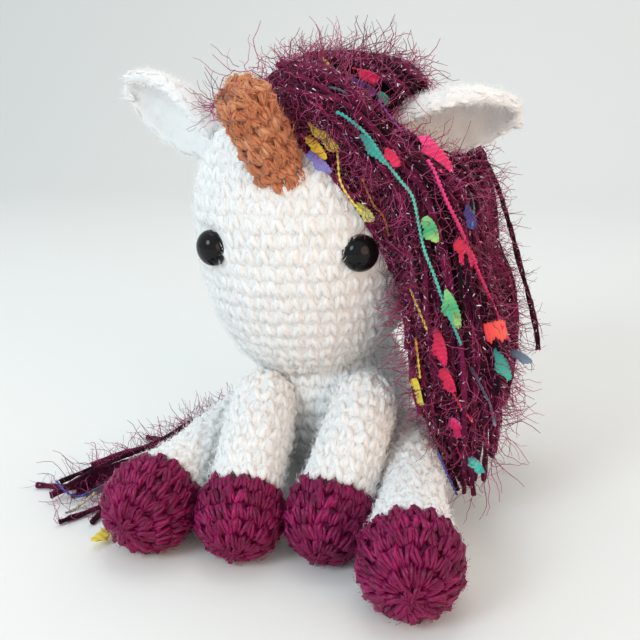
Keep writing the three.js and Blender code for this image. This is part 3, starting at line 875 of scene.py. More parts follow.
headData = {
    "at": mmVector(-6, -4, 98), "radius": 39 * mm, "crown": 39 * mm, "chin": 62.5 * mm, "chinPower": 2.2,
    "stitch": 5.2 * mm, "row": 5.3 * mm, "inset": 0.3 * mm, "net": (72, 60), "rings": 48,
}
eyeData = {
    "diameter": 12 * mm, "rise": 4.8 * mm, "sink": 1.4 * mm, "lift": 0.6 * mm, "drop": 9 * mm, "rim": 0.35 * mm,
    "turns": {"right": -37, "left": 41}, "rooms": (7.9 * mm, 6.3 * mm), "sides": 64, "rings": 20,
    "paint": {"roughness": 0.06, "sheen": 0.0, "sheenRoughness": 0.5, "specular": 0.22,
              "scale": 900.0, "detail": 4.0, "wear": (0.5, 0.8, 0.05, 0.14),
              "shades": ((0.003, 0.003, 0.004, 1), (0.008, 0.007, 0.008, 1))},
}


def onAxis(points):
    # a profile whose two ends lie on the axis
    return [(0, points[0][1]), *points[1:-1], (0, points[-1][1])]


def headProfile(data):
    points = []
    for i in range(data["rings"] + 1):
        angle = math.pi * (i / data["rings"] - 0.5)
        power = 2 / data["chinPower"] if angle < 0 else 1
        reach = -data["chin"] if angle < 0 else data["crown"]
        points.append((data["radius"] * abs(math.cos(angle)) ** power, reach * abs(math.sin(angle)) ** power))
    return onAxis(points)


def headSurface(turn, height, data=headData):
    # a place of the head's surface at this turn and height, and its outward direction
    reach = data["chin"] if height < 0 else data["crown"]
    power = data["chinPower"] if height < 0 else 2
    share = abs(height) / reach
    radius = data["radius"] * (1 - share ** power) ** (1 / power)
    slope = math.copysign(share ** (power - 1), height) / reach
    flat = (radius / data["radius"]) ** (power - 1) / data["radius"]
    out = Vector((math.sin(math.radians(turn)), -math.cos(math.radians(turn)), 0))
    return data["at"] + out * radius + upAxis * height, (out * flat + upAxis * slope).normalized()


eyePlaces = [headSurface(turn, -eyeData["drop"])[0] for turn in eyeData["turns"].values()]


def underEye(at):
    return any((at - eye).length < room for eye, room in zip(eyePlaces, eyeData["rooms"]))


crochetTurned("head_crochet", "white", "head", "head_cover", headProfile(headData),
              Matrix.Translation(headData["at"]), headData, headData["inset"], headData["net"], seed=4,
              fuzz={**whiteFuzz, "layers": 4}, skip=underEye)


# Body

bodyData = {
    "radius": 29 * mm, "widest": 23 * mm, "top": 60 * mm, "bottom": -0.5 * mm, "squareness": 0.92,
    "stitch": 5.2 * mm, "row": 5.3 * mm, "inset": 0.3 * mm, "net": (56, 40), "rings": 40,
}


def bodyProfile(data):
    points = []
    for i in range(data["rings"] + 1):
        angle = math.pi * (i / data["rings"] - 0.5)
        reach = data["widest"] - data["bottom"] if angle < 0 else data["top"] - data["widest"]
        radius = data["radius"] * max(math.cos(angle), 0.0) ** data["squareness"]
        points.append((radius, data["widest"] + reach * math.sin(angle)))
    return onAxis(points)


def bodyRadiusAt(z, data=bodyData):
    reach = data["widest"] - data["bottom"] if z < data["widest"] else data["top"] - data["widest"]
    return data["radius"] * math.cos(math.asin((z - data["widest"]) / reach)) ** data["squareness"]


def aboveTable(place, clearance=0.9 * mm, give=0.25):
    # what stands on the table is flattened by it
    below = clearance - place.z
    return Vector((place.x, place.y, clearance - give * below / (1 + below / mm))) if below > 0 else place


crochetTurned("body_crochet", "white", "body", "body_cover", bodyProfile(bodyData), Matrix(),
              bodyData, bodyData["inset"], bodyData["net"], seed=5, fuzz={**whiteFuzz, "layers": 2},
              roundSeed=2, warp=aboveTable)


# Legs: a plum hoof, a white sleeve and a rounded top against the body

legShared = {
    "press": 2.6 * mm, "hoofRise": 1.3, "cuff": math.radians(30),
    "ankleAt": 0.22, "girthAt": 0.62, "flat": 0.5 * mm,
    "stitch": 5.0 * mm, "row": 5.2 * mm, "inset": 1.2 * mm, "whiteInset": 0.3 * mm,
    "hoofNet": (40, 30), "sleeveNet": (40, 40), "rings": 24, "topRings": 12,
}
# in millimetres and degrees: the hoof's place, the leg's turn and top, and its radii from the hoof up
legData = {
    "front_right": {"hoof": (-10.5, -70), "turn": -26, "topZ": 34.5, "topRadius": 10.2, "hoofRadius": 13.4,
                    "ankle": 11, "girth": 11.2},
    "front_left": {"hoof": (16.6, -64.8), "turn": 34, "topZ": 36, "topRadius": 10.2, "hoofRadius": 13.4,
                   "ankle": 11, "girth": 10.6},
    "hind_right": {"hoof": (-39.9, -72.4), "turn": -68, "topZ": 18, "topRadius": 9, "hoofRadius": 14.7,
                   "ankle": 10.8, "girth": 10.1},
    "hind_left": {"hoof": (45.6, -83.8), "turn": 70, "topZ": 18, "topRadius": 9, "hoofRadius": 14.7,
                  "ankle": 10.3, "girth": 9},
}


def legShape(leg, shared):
    # where the leg stands, and the profiles of its hoof and of its sleeve with the rounded top
    turn, radius, topRadius = math.radians(leg["turn"]), leg["hoofRadius"] * mm, leg["topRadius"] * mm
    out = bodyRadiusAt(leg["topZ"] * mm) + topRadius - shared["press"]
    top = Vector((out * math.sin(turn), -out * math.cos(turn), leg["topZ"] * mm))
    hoof = Vector((leg["hoof"][0] * mm, leg["hoof"][1] * mm, radius - shared["flat"]))
    length = (top - hoof).length
    hoofPart = []
    rings = shared["rings"]
    for i in range(rings + 1):
        angle = -quarterTurn + (quarterTurn + shared["cuff"]) * i / rings
        rise = shared["hoofRise"] if angle > 0 else 1
        hoofPart.append((radius * math.cos(angle) if i else 0.0, rise * radius * math.sin(angle)))
    cuffRadius, cuffZ = hoofPart[-1]
    knots = [(cuffRadius, cuffZ),
             (leg["ankle"] * mm, cuffZ + (length - cuffZ) * shared["ankleAt"]),
             (leg["girth"] * mm, cuffZ + (length - cuffZ) * shared["girthAt"]),
             (topRadius, length)]
    sleevePart = [tuple(catmull(knots, i / rings)) for i in range(rings + 1)]
    sleevePart += dome(topRadius, topRadius, length, shared["topRings"])
    return axisFrame(hoof, top - hoof), hoofPart, sleevePart


def makeLeg(name, leg, shared, seed):
    placing, hoofPart, sleevePart = legShape(leg, shared)
    body = name + "_leg"
    crochetTurned(name + "_hoof_crochet", "plum", body, name + "_hoof", hoofPart, placing, shared,
                  shared["inset"], shared["hoofNet"], seed, plumFuzz, roundSeed=seed, closed=(False, True),
                  warp=aboveTable)
    crochetTurned(name + "_sleeve_crochet", "white", body, name + "_leg_sleeve", sleevePart, placing, shared,
                  shared["whiteInset"], shared["sleeveNet"], seed + 1, whiteFuzz, roundSeed=seed + 3,
                  closed=(True, False), warp=aboveTable)


for legSeed, (legName, legSizes) in enumerate(legData.items()):
    makeLeg(legName, legSizes, legShared, seed=10 + 4 * legSeed)


# Horn

hornData = {
    "through": mmVector(-4.5, -35, 114), "lean": Vector((-0.29, -0.43, 0.86)), "rootDepth": 16 * mm,
    "reach": 32 * mm, "baseRadius": 9 * mm, "tipRadius": 7.8 * mm, "stitch": 5.2 * mm, "row": 4.6 * mm,
    "inset": 1.2 * mm, "net": (36, 36), "rings": 12, "start": 0.12, "room": 0.2 * mm,
}


def hornProfile(data):
    base, tip, rings = data["baseRadius"], data["tipRadius"], data["rings"]
    shoulder = data["rootDepth"] + data["reach"] - tip
    points = [(base + (tip - base) * i / rings, shoulder * i / rings) for i in range(rings + 1)]
    return points + dome(tip, tip, shoulder, rings)


def sunkInHead(at):
    return (at - headData["at"]).length < headData["radius"] + hornData["room"]


hornAlong = hornData["lean"].normalized()
hornFrame = axisFrame(hornData["through"] - hornAlong * hornData["rootDepth"], hornAlong)
crochetTurned("horn_crochet", "copper", "head", "horn_cover", hornProfile(hornData), hornFrame, hornData,
              hornData["inset"], hornData["net"], seed=8, fuzz=copperFuzz, roundSeed=3, closed=(True, False),
              start=hornData["start"], skip=sunkInHead)


# Eyes: smooth black domes with a thin rim, sunk a little into the fabric

def glossMaterial(name, data):
    material, tree, shader = newMaterial(name, data)
    dust = objectNoise(tree, data["scale"], Detail=data["detail"])
    wear = put(tree, "ShaderNodeMapRange", {0: dust, **dict(enumerate(data["wear"], 1))})
    tree.links.new(wear.outputs[0], shader.inputs["Roughness"])
    setShade(tree, shader, mixedShade(tree, dust, *data["shades"]))
    return material


def makeEye(side, turn, data, paint):
    at, out = headSurface(turn, -data["drop"])
    placing = axisFrame(at + out * data["lift"], out)
    radius, low, sides = data["diameter"] / 2, -data["sink"], data["sides"]
    rings = [(radius - data["rim"], low), (radius, low + data["rim"]), (radius, 0.0)]
    *more, top = dome(radius, data["rise"], 0, data["rings"])
    rings += more
    corners = [placing @ corner for ring in rings for corner in ringCorners(*ring, sides)]
    faces = ringFaces(len(rings) - 1, sides)
    corners += [placing @ Vector((0, 0, low)), placing @ Vector((0, 0, top[1]))]
    first, last = len(corners) - 2, (len(rings) - 1) * sides
    for k in range(sides):
        after = (k + 1) % sides
        faces += [(first, after, k), (first + 1, last + k, last + after)]
    eye = meshObject("eye_button_" + side, corners, faces)
    smoothShade(eye)
    eye.data.materials.append(paint)
    register(eye, riding("head"), ("eye_" + side,))


eyePaint = glossMaterial("eyeGloss", eyeData["paint"])
for eyeSide, eyeTurn in eyeData["turns"].items():
    makeEye(eyeSide, eyeTurn, eyeData, eyePaint)
say("eyes are in")


# Inside: nylon washers behind the eyes, and the loose filling

insideData = {
    "washers": ("eye_washer_right", "eye_washer_left"),
    "fillings": {"head_stuffing": "head", "body_stuffing": "body", "horn_stuffing": "head",
                 **{name + "_leg_stuffing": name + "_leg" for name in legData}},
    "shrink": 0.3 * mm, "voxel": 1.6 * mm, "smooth": 4,
}


def copyOfNode(name, node, shrink, voxel, smooth):
    # a node's shape as a clean mesh of its own: merged, evened out and drawn in a little
    obj = newObject(name, frame["nodes"][node].data.copy())
    work = bmesh.new()
    work.from_mesh(obj.data)
    bmesh.ops.remove_doubles(work, verts=work.verts, dist=2e-6)
    work.to_mesh(obj.data)
    work.free()
    obj.data.materials.clear()
    remesh = obj.modifiers.new("even", "REMESH")
    remesh.mode = "VOXEL"
    remesh.voxel_size = voxel
    soften = obj.modifiers.new("soften", "SMOOTH")
    soften.iterations = smooth
    obj.data = evaluatedMesh(obj)
    obj.data.update()
    normals = np.array([v.normal for v in obj.data.vertices])
    places = np.array([v.co for v in obj.data.vertices]) - normals * shrink
    obj.data.vertices.foreach_set("co", places.ravel())
    obj.data.update()
    smoothShade(obj)
    return obj


def makeInside(data):
    for node in data["washers"]:
        washer = frame["nodes"][node].data
        washer.materials.clear()
        washer.materials.append(washerPaint)
    for node, body in data["fillings"].items():
        name = node.replace("stuffing", "filling")
        filling = copyOfNode(name, node, data["shrink"], data["voxel"], data["smooth"])
        filling.data.materials.append(fillingPaint)
        register(filling, riding(body), (node,))


makeInside(insideData)
say("washers and fillings are in")


# Ears: a long leaf of crochet, curled round its length into a cup with a thick rim

earData = {
    "length": 39 * mm, "wall": 1.75 * mm, "curl": 13.0 * mm, "standOff": 3 * mm, "thinnest": 0.8, "shift": 0.10,
    "stitch": 4.6 * mm, "row": 4.6 * mm, "inset": -0.3 * mm, "lumps": 0.55 * mm, "lumpSize": 4.5 * mm,
    "arcSteps": 40, "rimSteps": 8, "rings": 30, "around": 56, "fewest": 5, "rowAt": 0.45, "ahead": 0.03,
    # sizes of the stitches as shares of their places, smaller where the outline bends sharply round the rim
    "wide": 1.02, "deep": 0.50, "high": 1.05, "rim": 0.7, "sharp": 0.3,
    "sides": {
        "right": {"turn": -96, "rise": 33, "lift": 29, "open": Vector((0.2, -0.9, -0.4)), "upper": 1},
        "left": {"turn": 102, "rise": 40, "lift": 6, "open": Vector((0, -0.85, -0.5)), "upper": -1},
    },
    # along the ear: share of the length, share of the full curl, how far the lower and upper edges bend round
    "stations": [(-0.06, 0.62, 0.75, 1.9), (0.1, 0.82, 0.85, 1.9), (0.3, 0.98, 0.9, 1.75), (0.5, 1.0, 0.9, 1.6),
                 (0.7, 0.86, 0.85, 1.45), (0.87, 0.6, 0.75, 1.3), (0.97, 0.3, 0.7, 1.1), (1.0, 0.12, 0.7, 1.0)],
    "back": [0.0, 3.0 * mm, 5.0 * mm, 6.0 * mm, 5.5 * mm, 3.5 * mm, 1.5 * mm, 1.0 * mm],
    "fuzz": {**whiteFuzz, "layers": 5, "density": 0.42e6}, "fill": 0.3,
}


def earFrame(data, ear):
    at, out = headSurface(ear["turn"], headData["crown"] * math.sin(math.radians(ear["rise"])))
    root = at + out * data["standOff"]
    lift = math.radians(ear["lift"])
    along = Vector((math.copysign(math.cos(lift), ear["turn"]), 0, math.sin(lift)))
    opening = (ear["open"] - along * ear["open"].dot(along)).normalized()
    side = (-opening).cross(along)
    return Matrix.Translation(root) @ Matrix((side, -opening, along)).transposed().to_4x4()


def wayAt(angle):
    return np.array([math.sin(angle), math.cos(angle)])


def earSection(data, share, upper, thicker=0.0):
    # the closed outline across the ear at a share of its length, with its outward directions
    stations = list(zip(*data["stations"]))
    curl, low, high, back = (np.interp(share, stations[0], column) for column in (*stations[1:], data["back"]))
    radius = curl * data["curl"]
    wall = min(data["wall"] + thicker, radius * data["thinnest"])
    last, rim = data["arcSteps"] - 1, data["rimSteps"]
    outer = [-low + (low + high) * i / last for i in range(last + 1)]
    inner = [high - (low + high) * i / last for i in range(last + 1)]
    upperRim = [high + math.pi * i / rim for i in range(1, rim)]
    lowerRim = [-low + math.pi + math.pi * i / rim for i in range(1, rim)]
    points, outs = [], []
    # each part of the outline: its angles, its centre, its radius, and whether it faces in
    for angles, centre, reach, facing in ((outer, np.zeros(2), radius + wall, 1),
                                          (upperRim, wayAt(high) * radius, wall, 1),
                                          (inner, np.zeros(2), radius - wall, -1),
                                          (lowerRim, wayAt(-low) * radius, wall, 1)):
        points += [centre + wayAt(angle) * reach for angle in angles]
        outs += [wayAt(angle) * facing for angle in angles]
    points = np.array(points) + np.array([-radius * data["shift"], back - radius])
    mirror = np.array([math.copysign(1, upper), 1])
    return points * mirror, np.array(outs) * mirror


def evenRound(points, outs, count, lag):
    # places spread evenly along a closed outline
    closed = np.vstack([points, points[:1]])
    turned = np.vstack([outs, outs[:1]])
    reach = np.concatenate([[0], np.cumsum(np.linalg.norm(np.diff(closed, axis=0), axis=1))])
    wanted = (np.arange(count) + lag) % count * reach[-1] / count
    at = np.stack([np.interp(wanted, reach, closed[:, c]) for c in (0, 1)], 1)
    way = np.stack([np.interp(wanted, reach, turned[:, c]) for c in (0, 1)], 1)
    return at, way / np.maximum(np.linalg.norm(way, axis=1, keepdims=True), 1e-9), reach[-1]


def earRounds(data, upper, placing):
    # stitches on the back and round the rim; the hollow is plain and fuzzy
    turn, length = placing.to_3x3(), data["length"]
    low, high = data["stations"][0][0], data["stations"][-1][0]
    rows = round(length * (high - low) / data["row"])
    places, outs, ups, sizes = [], [], [], []
    for row in range(rows):
        share = low + (high - low) * (row + data["rowAt"]) / rows
        points, ways = earSection(data, share, upper)
        whole = np.linalg.norm(np.diff(points, axis=0), axis=1).sum()
        count = max(data["fewest"], round(whole / data["stitch"]))
        at, way, whole = evenRound(points, ways, count, 0.5 * (row % 2))
        further = earSection(data, min(share + data["ahead"], 1.0), upper)
        ahead = evenRound(*further, count, 0.5 * (row % 2))[0]
        middle = points.mean(axis=0)
        for k in range(count):
            if way[k] @ (at[k] - middle) < 0:
                continue
            small = 1.0 if way[k - 1] @ way[(k + 1) % count] > data["sharp"] else data["rim"]
            onward = Vector((*(ahead[k] - at[k]), data["ahead"] * length)).normalized()
            out = Vector((*way[k], 0))
            out = (out - onward * out.dot(onward)).normalized()
            places.append(placing @ Vector((*at[k], share * length)))
            outs.append(turn @ out)
            ups.append(turn @ onward)
            wide = whole / count * data["wide"] * small
            sizes.append((wide, data["stitch"] * data["deep"] * small, data["row"] * data["high"]))
    rounds = meshObject("earRounds", places)
    storeVectors(rounds, outward=outs, upward=ups, stitchSize=sizes)
    return rounds


def earSkin(data, upper, placing):
    # the ear's fabric, a little lumpy
    low, high = data["stations"][0][0], data["stations"][-1][0]
    rings, around = data["rings"], data["around"]
    corners = []
    for i in range(rings + 1):
        share = low + (high - low) * i / rings
        at, way, whole = evenRound(*earSection(data, share, upper, -data["inset"]), around, 0.0)
        for p, w in zip(at, way):
            corner = Vector((*p, share * data["length"]))
            corner += Vector((*w, 0)) * data["lumps"] * noise.noise(corner / data["lumpSize"])
            corners.append(placing @ corner)
    ends = [tuple(range(around)), tuple(rings * around + k for k in reversed(range(around)))]
    skin = meshObject("earSkin", corners, ringFaces(rings, around) + ends)
    plainStrandMarks(skin)
    facesOut(skin)
    smoothShade(skin)
    return skin


def makeEar(side, data, ear, seed):
    placing, body = earFrame(data, ear), "ear_" + side
    rounds, skin = earRounds(data, ear["upper"], placing), earSkin(data, ear["upper"], placing)
    crochetPiece("ear_crochet_" + side, skin, rounds, "white", body, body, seed, data["fuzz"])


for earSeed, (earSide, earSizes) in enumerate(earData["sides"].items()):
    makeEar(earSide, earData, earSizes, seed=40 + earSeed)


# Mane and tail yarn: velvety strands, long loose lashes, tinsel and coloured ribbon thread

maneData = {
    "strandThick": 0.88 * mm, "uneven": 0.22 * mm, "strandSides": 6, "spacing": 1.9 * mm,
    "lashThick": 0.29 * mm,
    # lashes and foils: gap along a strand, greatest length, least share of it, and what mixes their direction
    "matted": {"gap": 9.0 * mm, "length": 6.0 * mm, "shortest": 0.4, "outward": 0.4, "wild": 0.7, "onward": 1.0,
               "lift": 0.6 * mm, "shapes": 7, "steps": 3, "seed": 33},
    "flying": {"gap": 4.8 * mm, "length": 15 * mm, "shortest": 0.3,
               "outward": 0.8, "wild": 0.95, "onward": 0.35,
               "lift": 0.0, "shapes": 9, "steps": 5, "seed": 31},
    "foils": {"gap": 3.4 * mm, "length": 1.7 * mm, "shortest": 0.2, "outward": 0.15, "wild": 1.0, "onward": 0.8,
              "lift": 1.1 * mm, "shapes": 5, "steps": 2, "seed": 32, "thick": 0.36 * mm, "flat": 0.18,
              "twist": (1.5, 4.5), "bend": 0.15},
    "tones": (0.5, 0.7, 0.9, 1.0, 1.2, 1.6), "coreDraw": 2.2 * mm, "coreVoxel": 1.5 * mm, "coreSmooth": 6,
    "fill": 0.8,
    "swingStart": (0.004, -0.027, 0.136), "swingEnd": (0.026, -0.027, 0.124),
}
strandShape = {
    "swell": {"Scale": 260.0, "Detail": 1.0}, "swellRange": (0.25, 0.75, 0.72, 1.25),
    "grain": {"Scale": 900.0, "Detail": 2.0}, "grainHeight": 4.0,
}
strandPaintData = {
    "roughness": 0.85, "sheen": 0.42, "sheenRoughness": 0.35, "specular": 0.2, "sheenTint": tint(190, 70, 130),
    "dark": tint(20, 2, 11), "light": tint(126, 34, 76), "darkAt": 0.14, "lightAt": 0.46,
    "pileScale": 1000.0, "pileDetail": 4.0, "pileRoughness": 0.7, "cloudScale": 120.0, "cloudDetail": 2.0,
    "bump": 1.0, "bumpDepth": 0.0012,
}
tonePaintData = {"roughness": 0.5, "sheen": 0.1, "sheenRoughness": 0.5, "specular": 0.5, "metallic": 0.0}
lashShades = [tint(76, 10, 38), tint(130, 22, 68), tint(166, 40, 98), tint(190, 66, 124)]
foilShades = [tint(140, 60, 120), tint(176, 140, 200), tint(240, 238, 250), tint(214, 150, 170),
              tint(255, 252, 255)]


def strandMaterial(name, data):
    material, tree, shader = newMaterial(name, data)
    shader.inputs["Sheen Tint"].default_value = data["sheenTint"]
    pile = objectNoise(tree, data["pileScale"], Detail=data["pileDetail"], Roughness=data["pileRoughness"])
    both = worked(tree, "MULTIPLY", pile, objectNoise(tree, data["cloudScale"], Detail=data["cloudDetail"]))
    # a piece without its own strandTone, such as a core, falls to the darkest colour: painted shade under the
    # strands
    own = put(tree, "ShaderNodeAttribute", attribute_name="strandTone").outputs["Fac"]
    toned = worked(tree, "MULTIPLY", both, own)
    shade = rampShade(tree, toned, data["dark"], data["light"], data["darkAt"], data["lightAt"])
    setShade(tree, shader, shade, pile, data["bump"], data["bumpDepth"])
    return material


def toneMaterial(name, shades, **changed):
    # each hair, foil or ribbon has its own tone, picked along a ramp
    data = {**tonePaintData, **changed}
    material, tree, shader = newMaterial(name, data)
    shader.inputs["Metallic"].default_value = data["metallic"]
    tone = put(tree, "ShaderNodeAttribute", attribute_name="tone").outputs["Fac"]
    ramp = put(tree, "ShaderNodeValToRGB", {0: tone})
    ramp.color_ramp.elements[0].color = shades[0]
    ramp.color_ramp.elements[1].color = shades[-1]
    for i, shade in enumerate(shades[1:-1], 1):
        ramp.color_ramp.elements.new(i / (len(shades) - 1)).color = shade
    setShade(tree, shader, ramp.outputs[0])
    return material


def makeLashShapes(name, data, thick, lean=0.3, kink=0.75, rise=0.1, thinner=0.4, sides=3):
    # long hairs with soft kinks, one unit long along +Z
    draw = random.Random(data["seed"])
    steps, half = data["steps"], thick / data["length"] / 2
    lashes = []
    for i in range(data["shapes"]):
        at, way = Vector(), Vector((draw.uniform(-lean, lean), draw.uniform(-lean, lean), 1)).normalized()
        line = []
        for s in range(steps + 1):
            line.append(at.copy())
            way = (way + Vector((draw.uniform(-kink, kink), draw.uniform(-kink, kink), rise))).normalized()
            at = at + way / steps
        thicks = [half * (1 - thinner * (s / steps) ** 2) for s in range(steps + 1)]
        corners, faces, marks = tubeAlong(line, thicks, sides)
        lashes.append(meshObject(f"{name}{i}", corners, faces))
        smoothShade(lashes[-1])
    return shapeSet(name, lashes)


def makeFoilShapes(name, data):
    # short flat foils with a turn or so of twist
    draw = random.Random(data["seed"])
    steps, half = data["steps"], data["thick"] / data["length"] / 2
    foils = []
    for i in range(data["shapes"]):
        corners = []
        turn, bend = draw.uniform(*data["twist"]), draw.uniform(-data["bend"], data["bend"])
        for s in range(steps + 1):
            angle = turn * s / steps
            middle = Vector((bend * math.sin(math.pi * s / steps), 0, s / steps))
            side = Vector((math.cos(angle), math.sin(angle), 0)) * half
            edge = Vector((-math.sin(angle), math.cos(angle), 0)) * half * data["flat"]
            corners += [middle - side - edge, middle + side - edge, middle + side + edge, middle - side + edge]
        ends = [(3, 2, 1, 0), tuple(4 * steps + k for k in range(4))]
        foils.append(meshObject(f"{name}{i}", corners, ringFaces(steps, 4) + ends))
    return shapeSet(name + "Shapes", foils)


def evenCurve(tree, given):
    curve = put(tree, "GeometryNodeMeshToCurve", {"Mesh": given["Geometry"]}).outputs[0]
    spaced = {"Curve": curve, "Length": given["Spacing"]}
    return put(tree, "GeometryNodeResampleCurve", spaced, mode="LENGTH").outputs[0]


def smoothTube(tree, curve, outline, scale, push=None):
    sweep = {"Curve": curve, "Profile Curve": outline, "Scale": scale, "Fill Caps": True}
    tube = put(tree, "GeometryNodeCurveToMesh", sweep).outputs[0]
    if push is not None:
        tube = moved(tree, tube, push)
    return put(tree, "GeometryNodeSetShadeSmooth", {"Geometry": tube}).outputs[0]


def makeStrandTree(shape):
    # velvety tubes that swell and thin, with a grain on them
    tree, given = newTree("velvetStrands", [
        ("Thickness", "Float", 0.0012), ("Uneven", "Float", 0.0003), ("Spacing", "Float", 0.0016),
        ("Sides", "Int", 7), ("Yarn", "Material", None),
    ])
    ring = put(tree, "GeometryNodeCurvePrimitiveCircle", {"Resolution": given["Sides"], "Radius": 1.0})
    slow = put(tree, "ShaderNodeTexNoise", shape["swell"]).outputs[0]
    swell = put(tree, "ShaderNodeMapRange", {0: slow, **dict(enumerate(shape["swellRange"], 1))}).outputs[0]
    grain = put(tree, "ShaderNodeTexNoise", shape["grain"]).outputs[0]
    depth = worked(tree, "MULTIPLY", worked(tree, "SUBTRACT", grain, 0.5), given["Uneven"])
    height = worked(tree, "MULTIPLY", depth, shape["grainHeight"])
    push = scaled(tree, put(tree, "GeometryNodeInputNormal").outputs[0], height)
    thick = worked(tree, "MULTIPLY", swell, given["Thickness"])
    tube = smoothTube(tree, evenCurve(tree, given), ring.outputs[0], thick, push)
    return endTree(tree, madeReal(tree, tube), given["Yarn"])


def makeLashTree():
    # loose shapes along the strands, turned partly outward, partly onward and partly by chance
    tree, given = newTree("looseLashes", [
        ("Shapes", "Collection", None), ("Gap", "Float", 0.002), ("Length", "Float", 0.01),
        ("Shortest", "Float", 0.35), ("Outward", "Float", 0.7), ("Wild", "Float", 1.0),
        ("Onward", "Float", 0.3), ("Lift", "Float", 0.0), ("Seed", "Int", 1), ("Yarn", "Material", None),
    ])
    curve = put(tree, "GeometryNodeMeshToCurve", {"Mesh": given["Geometry"]}).outputs[0]
    spots = put(tree, "GeometryNodeCurveToPoints", {"Curve": curve, "Length": given["Gap"]}, mode="LENGTH")
    outward = namedVector(tree, "outward")
    wild = scaled(tree, chanceVector(tree, given["Seed"]), given["Wild"])
    loose = added(tree, scaled(tree, outward, given["Outward"]), wild)
    way = added(tree, loose, scaled(tree, namedVector(tree, "onward"), given["Onward"]))
    spin = put(tree, "ShaderNodeCombineXYZ", {2: chanceValue(tree, 0.0, drawnTurn, seed=21)}).outputs[0]
    turn = turnedMore(tree, alignedTo(tree, way), spin)
    size = worked(tree, "MULTIPLY", chanceValue(tree, given["Shortest"], 1.0, seed=5), given["Length"])
    rise = scaled(tree, outward, given["Lift"])
    aside = scaled(tree, chanceVector(tree, seed=9, reach=0.6), given["Lift"])
    points = moved(tree, spots.outputs["Points"], added(tree, rise, aside))
    placed = pickedShapes(tree, points, given["Shapes"], turn, size)
    coloured = toned(tree, placed, chanceValue(tree, 0.0, 1.0, seed=3))
    return endTree(tree, madeReal(tree, coloured), given["Yarn"])


def makeThreadTree():
    # a flattened thread, twisted along its length
    tree, given = newTree("twistedThread", [
        ("Thickness", "Float", 0.0005), ("Flatness", "Float", 0.5), ("Pitch", "Float", 0.0018),
        ("Spacing", "Float", 0.0003), ("Yarn", "Material", None),
    ])
    share = put(tree, "GeometryNodeSplineParameter").outputs
    tilt = worked(tree, "MULTIPLY", worked(tree, "DIVIDE", share["Length"], given["Pitch"]), math.pi)
    tilted = put(tree, "GeometryNodeSetCurveTilt", {"Curve": evenCurve(tree, given), "Tilt": tilt}).outputs[0]
    ring = put(tree, "GeometryNodeCurvePrimitiveCircle", {"Resolution": 8, "Radius": 1.0}).outputs[0]
    flat = put(tree, "ShaderNodeCombineXYZ", {0: 1.0, 1: given["Flatness"], 2: 1.0}).outputs[0]
    oval = put(tree, "GeometryNodeTransform", {"Geometry": ring, "Scale": flat}).outputs[0]
    tube = smoothTube(tree, toned(tree, tilted, share["Factor"], "POINT"), oval, given["Thickness"])
    return endTree(tree, madeReal(tree, tube), given["Yarn"])


strandTree, lashTree, threadTree = makeStrandTree(strandShape), makeLashTree(), makeThreadTree()
manePaint = strandMaterial("maneStrand", strandPaintData)
lashPaint = toneMaterial("maneLash", lashShades, roughness=0.45)
foilPaint = toneMaterial("tinsel", foilShades, roughness=0.2, metallic=0.15, specular=0.8)
looseShapes = {
    "matted": makeLashShapes("mattedLash", maneData["matted"], maneData["lashThick"]),
    "flying": makeLashShapes("flyingLash", maneData["flying"], maneData["lashThick"]),
    "foils": makeFoilShapes("foil", maneData["foils"]),
}
loosePaint = {"matted": lashPaint, "flying": lashPaint, "foils": foilPaint}


# Where the yarn leaves the shape of its solid

lockDip = {"at": mmVector(34, -25, 130), "reach": 26 * mm, "push": mmVector(-3, 0, -9)}
lockSlim = {"from": 50 * mm, "share": 0.55, "fullest": 53 * mm, "upper": 27 * mm, "lower": 75 * mm}
tailBow = {
    "at": mmVector(-64, -18, 0), "reach": 46 * mm, "push": mmVector(9.5, -4.2, 0),
    "flat": 0.58, "floor": 0.4 * mm,
}
crestRise = {"at": mmVector(29, 2, 140), "reach": 20 * mm, "push": mmVector(3, 0, 3)}
earSight = {"at": mmVector(31, 2, 125), "radius": 9.5 * mm, "push": Vector((-0.8, 0, 0.5)), "behind": 4 * mm}


def drawnBy(place, pull):
    # moved smoothly by up to the pull's push, within its reach
    near = max(0, 1 - (place - pull["at"]).length_squared / pull["reach"] ** 2)
    return place + pull["push"] * near ** 2


def slimmed(place):
    # the hanging locks are slimmer on their outer side than their solids, apart from where they are fullest
    above = place.z - lockSlim["fullest"]
    fullness = max(0, 1 - (above / lockSlim["upper" if above > 0 else "lower"]) ** 2)
    share = lockSlim["share"] + (1 - lockSlim["share"]) * fullness
    return Vector((min(place.x, lockSlim["from"] + (place.x - lockSlim["from"]) * share), place.y, place.z))


def dipped(place):
    # the front lock also sinks a little where it passes under the ear
    return slimmed(drawnBy(place, lockDip))


def settled(place):
    # the tail's yarn sinks flat on the table and bows towards the leg
    height = tailBow["floor"] + (place.z - tailBow["floor"]) * tailBow["flat"]
    return drawnBy(Vector((place.x, place.y, 0)), tailBow) + upAxis * height


def besideEar(place):
    # the crest stays full up to the ear, and as the camera sees it nothing stands in front of the ear's root
    place = drawnBy(place, crestRise)
    towards = (cameraData["at"] - earSight["at"]).normalized()
    ahead = (place - earSight["at"]).dot(towards)
    if ahead < -earSight["behind"]:
        return place
    across = place - earSight["at"] - towards * ahead
    push = (earSight["push"] - towards * towards.dot(earSight["push"])).normalized()
    side = across.dot(push)
    other = (across - push * side).length
    if other > earSight["radius"] or side > earSight["radius"]:
        return place
    edge = math.sqrt(earSight["radius"] ** 2 - other ** 2)
    return place + push * (edge - side) if side < edge else place


# The three locks and the crest: what their strands follow

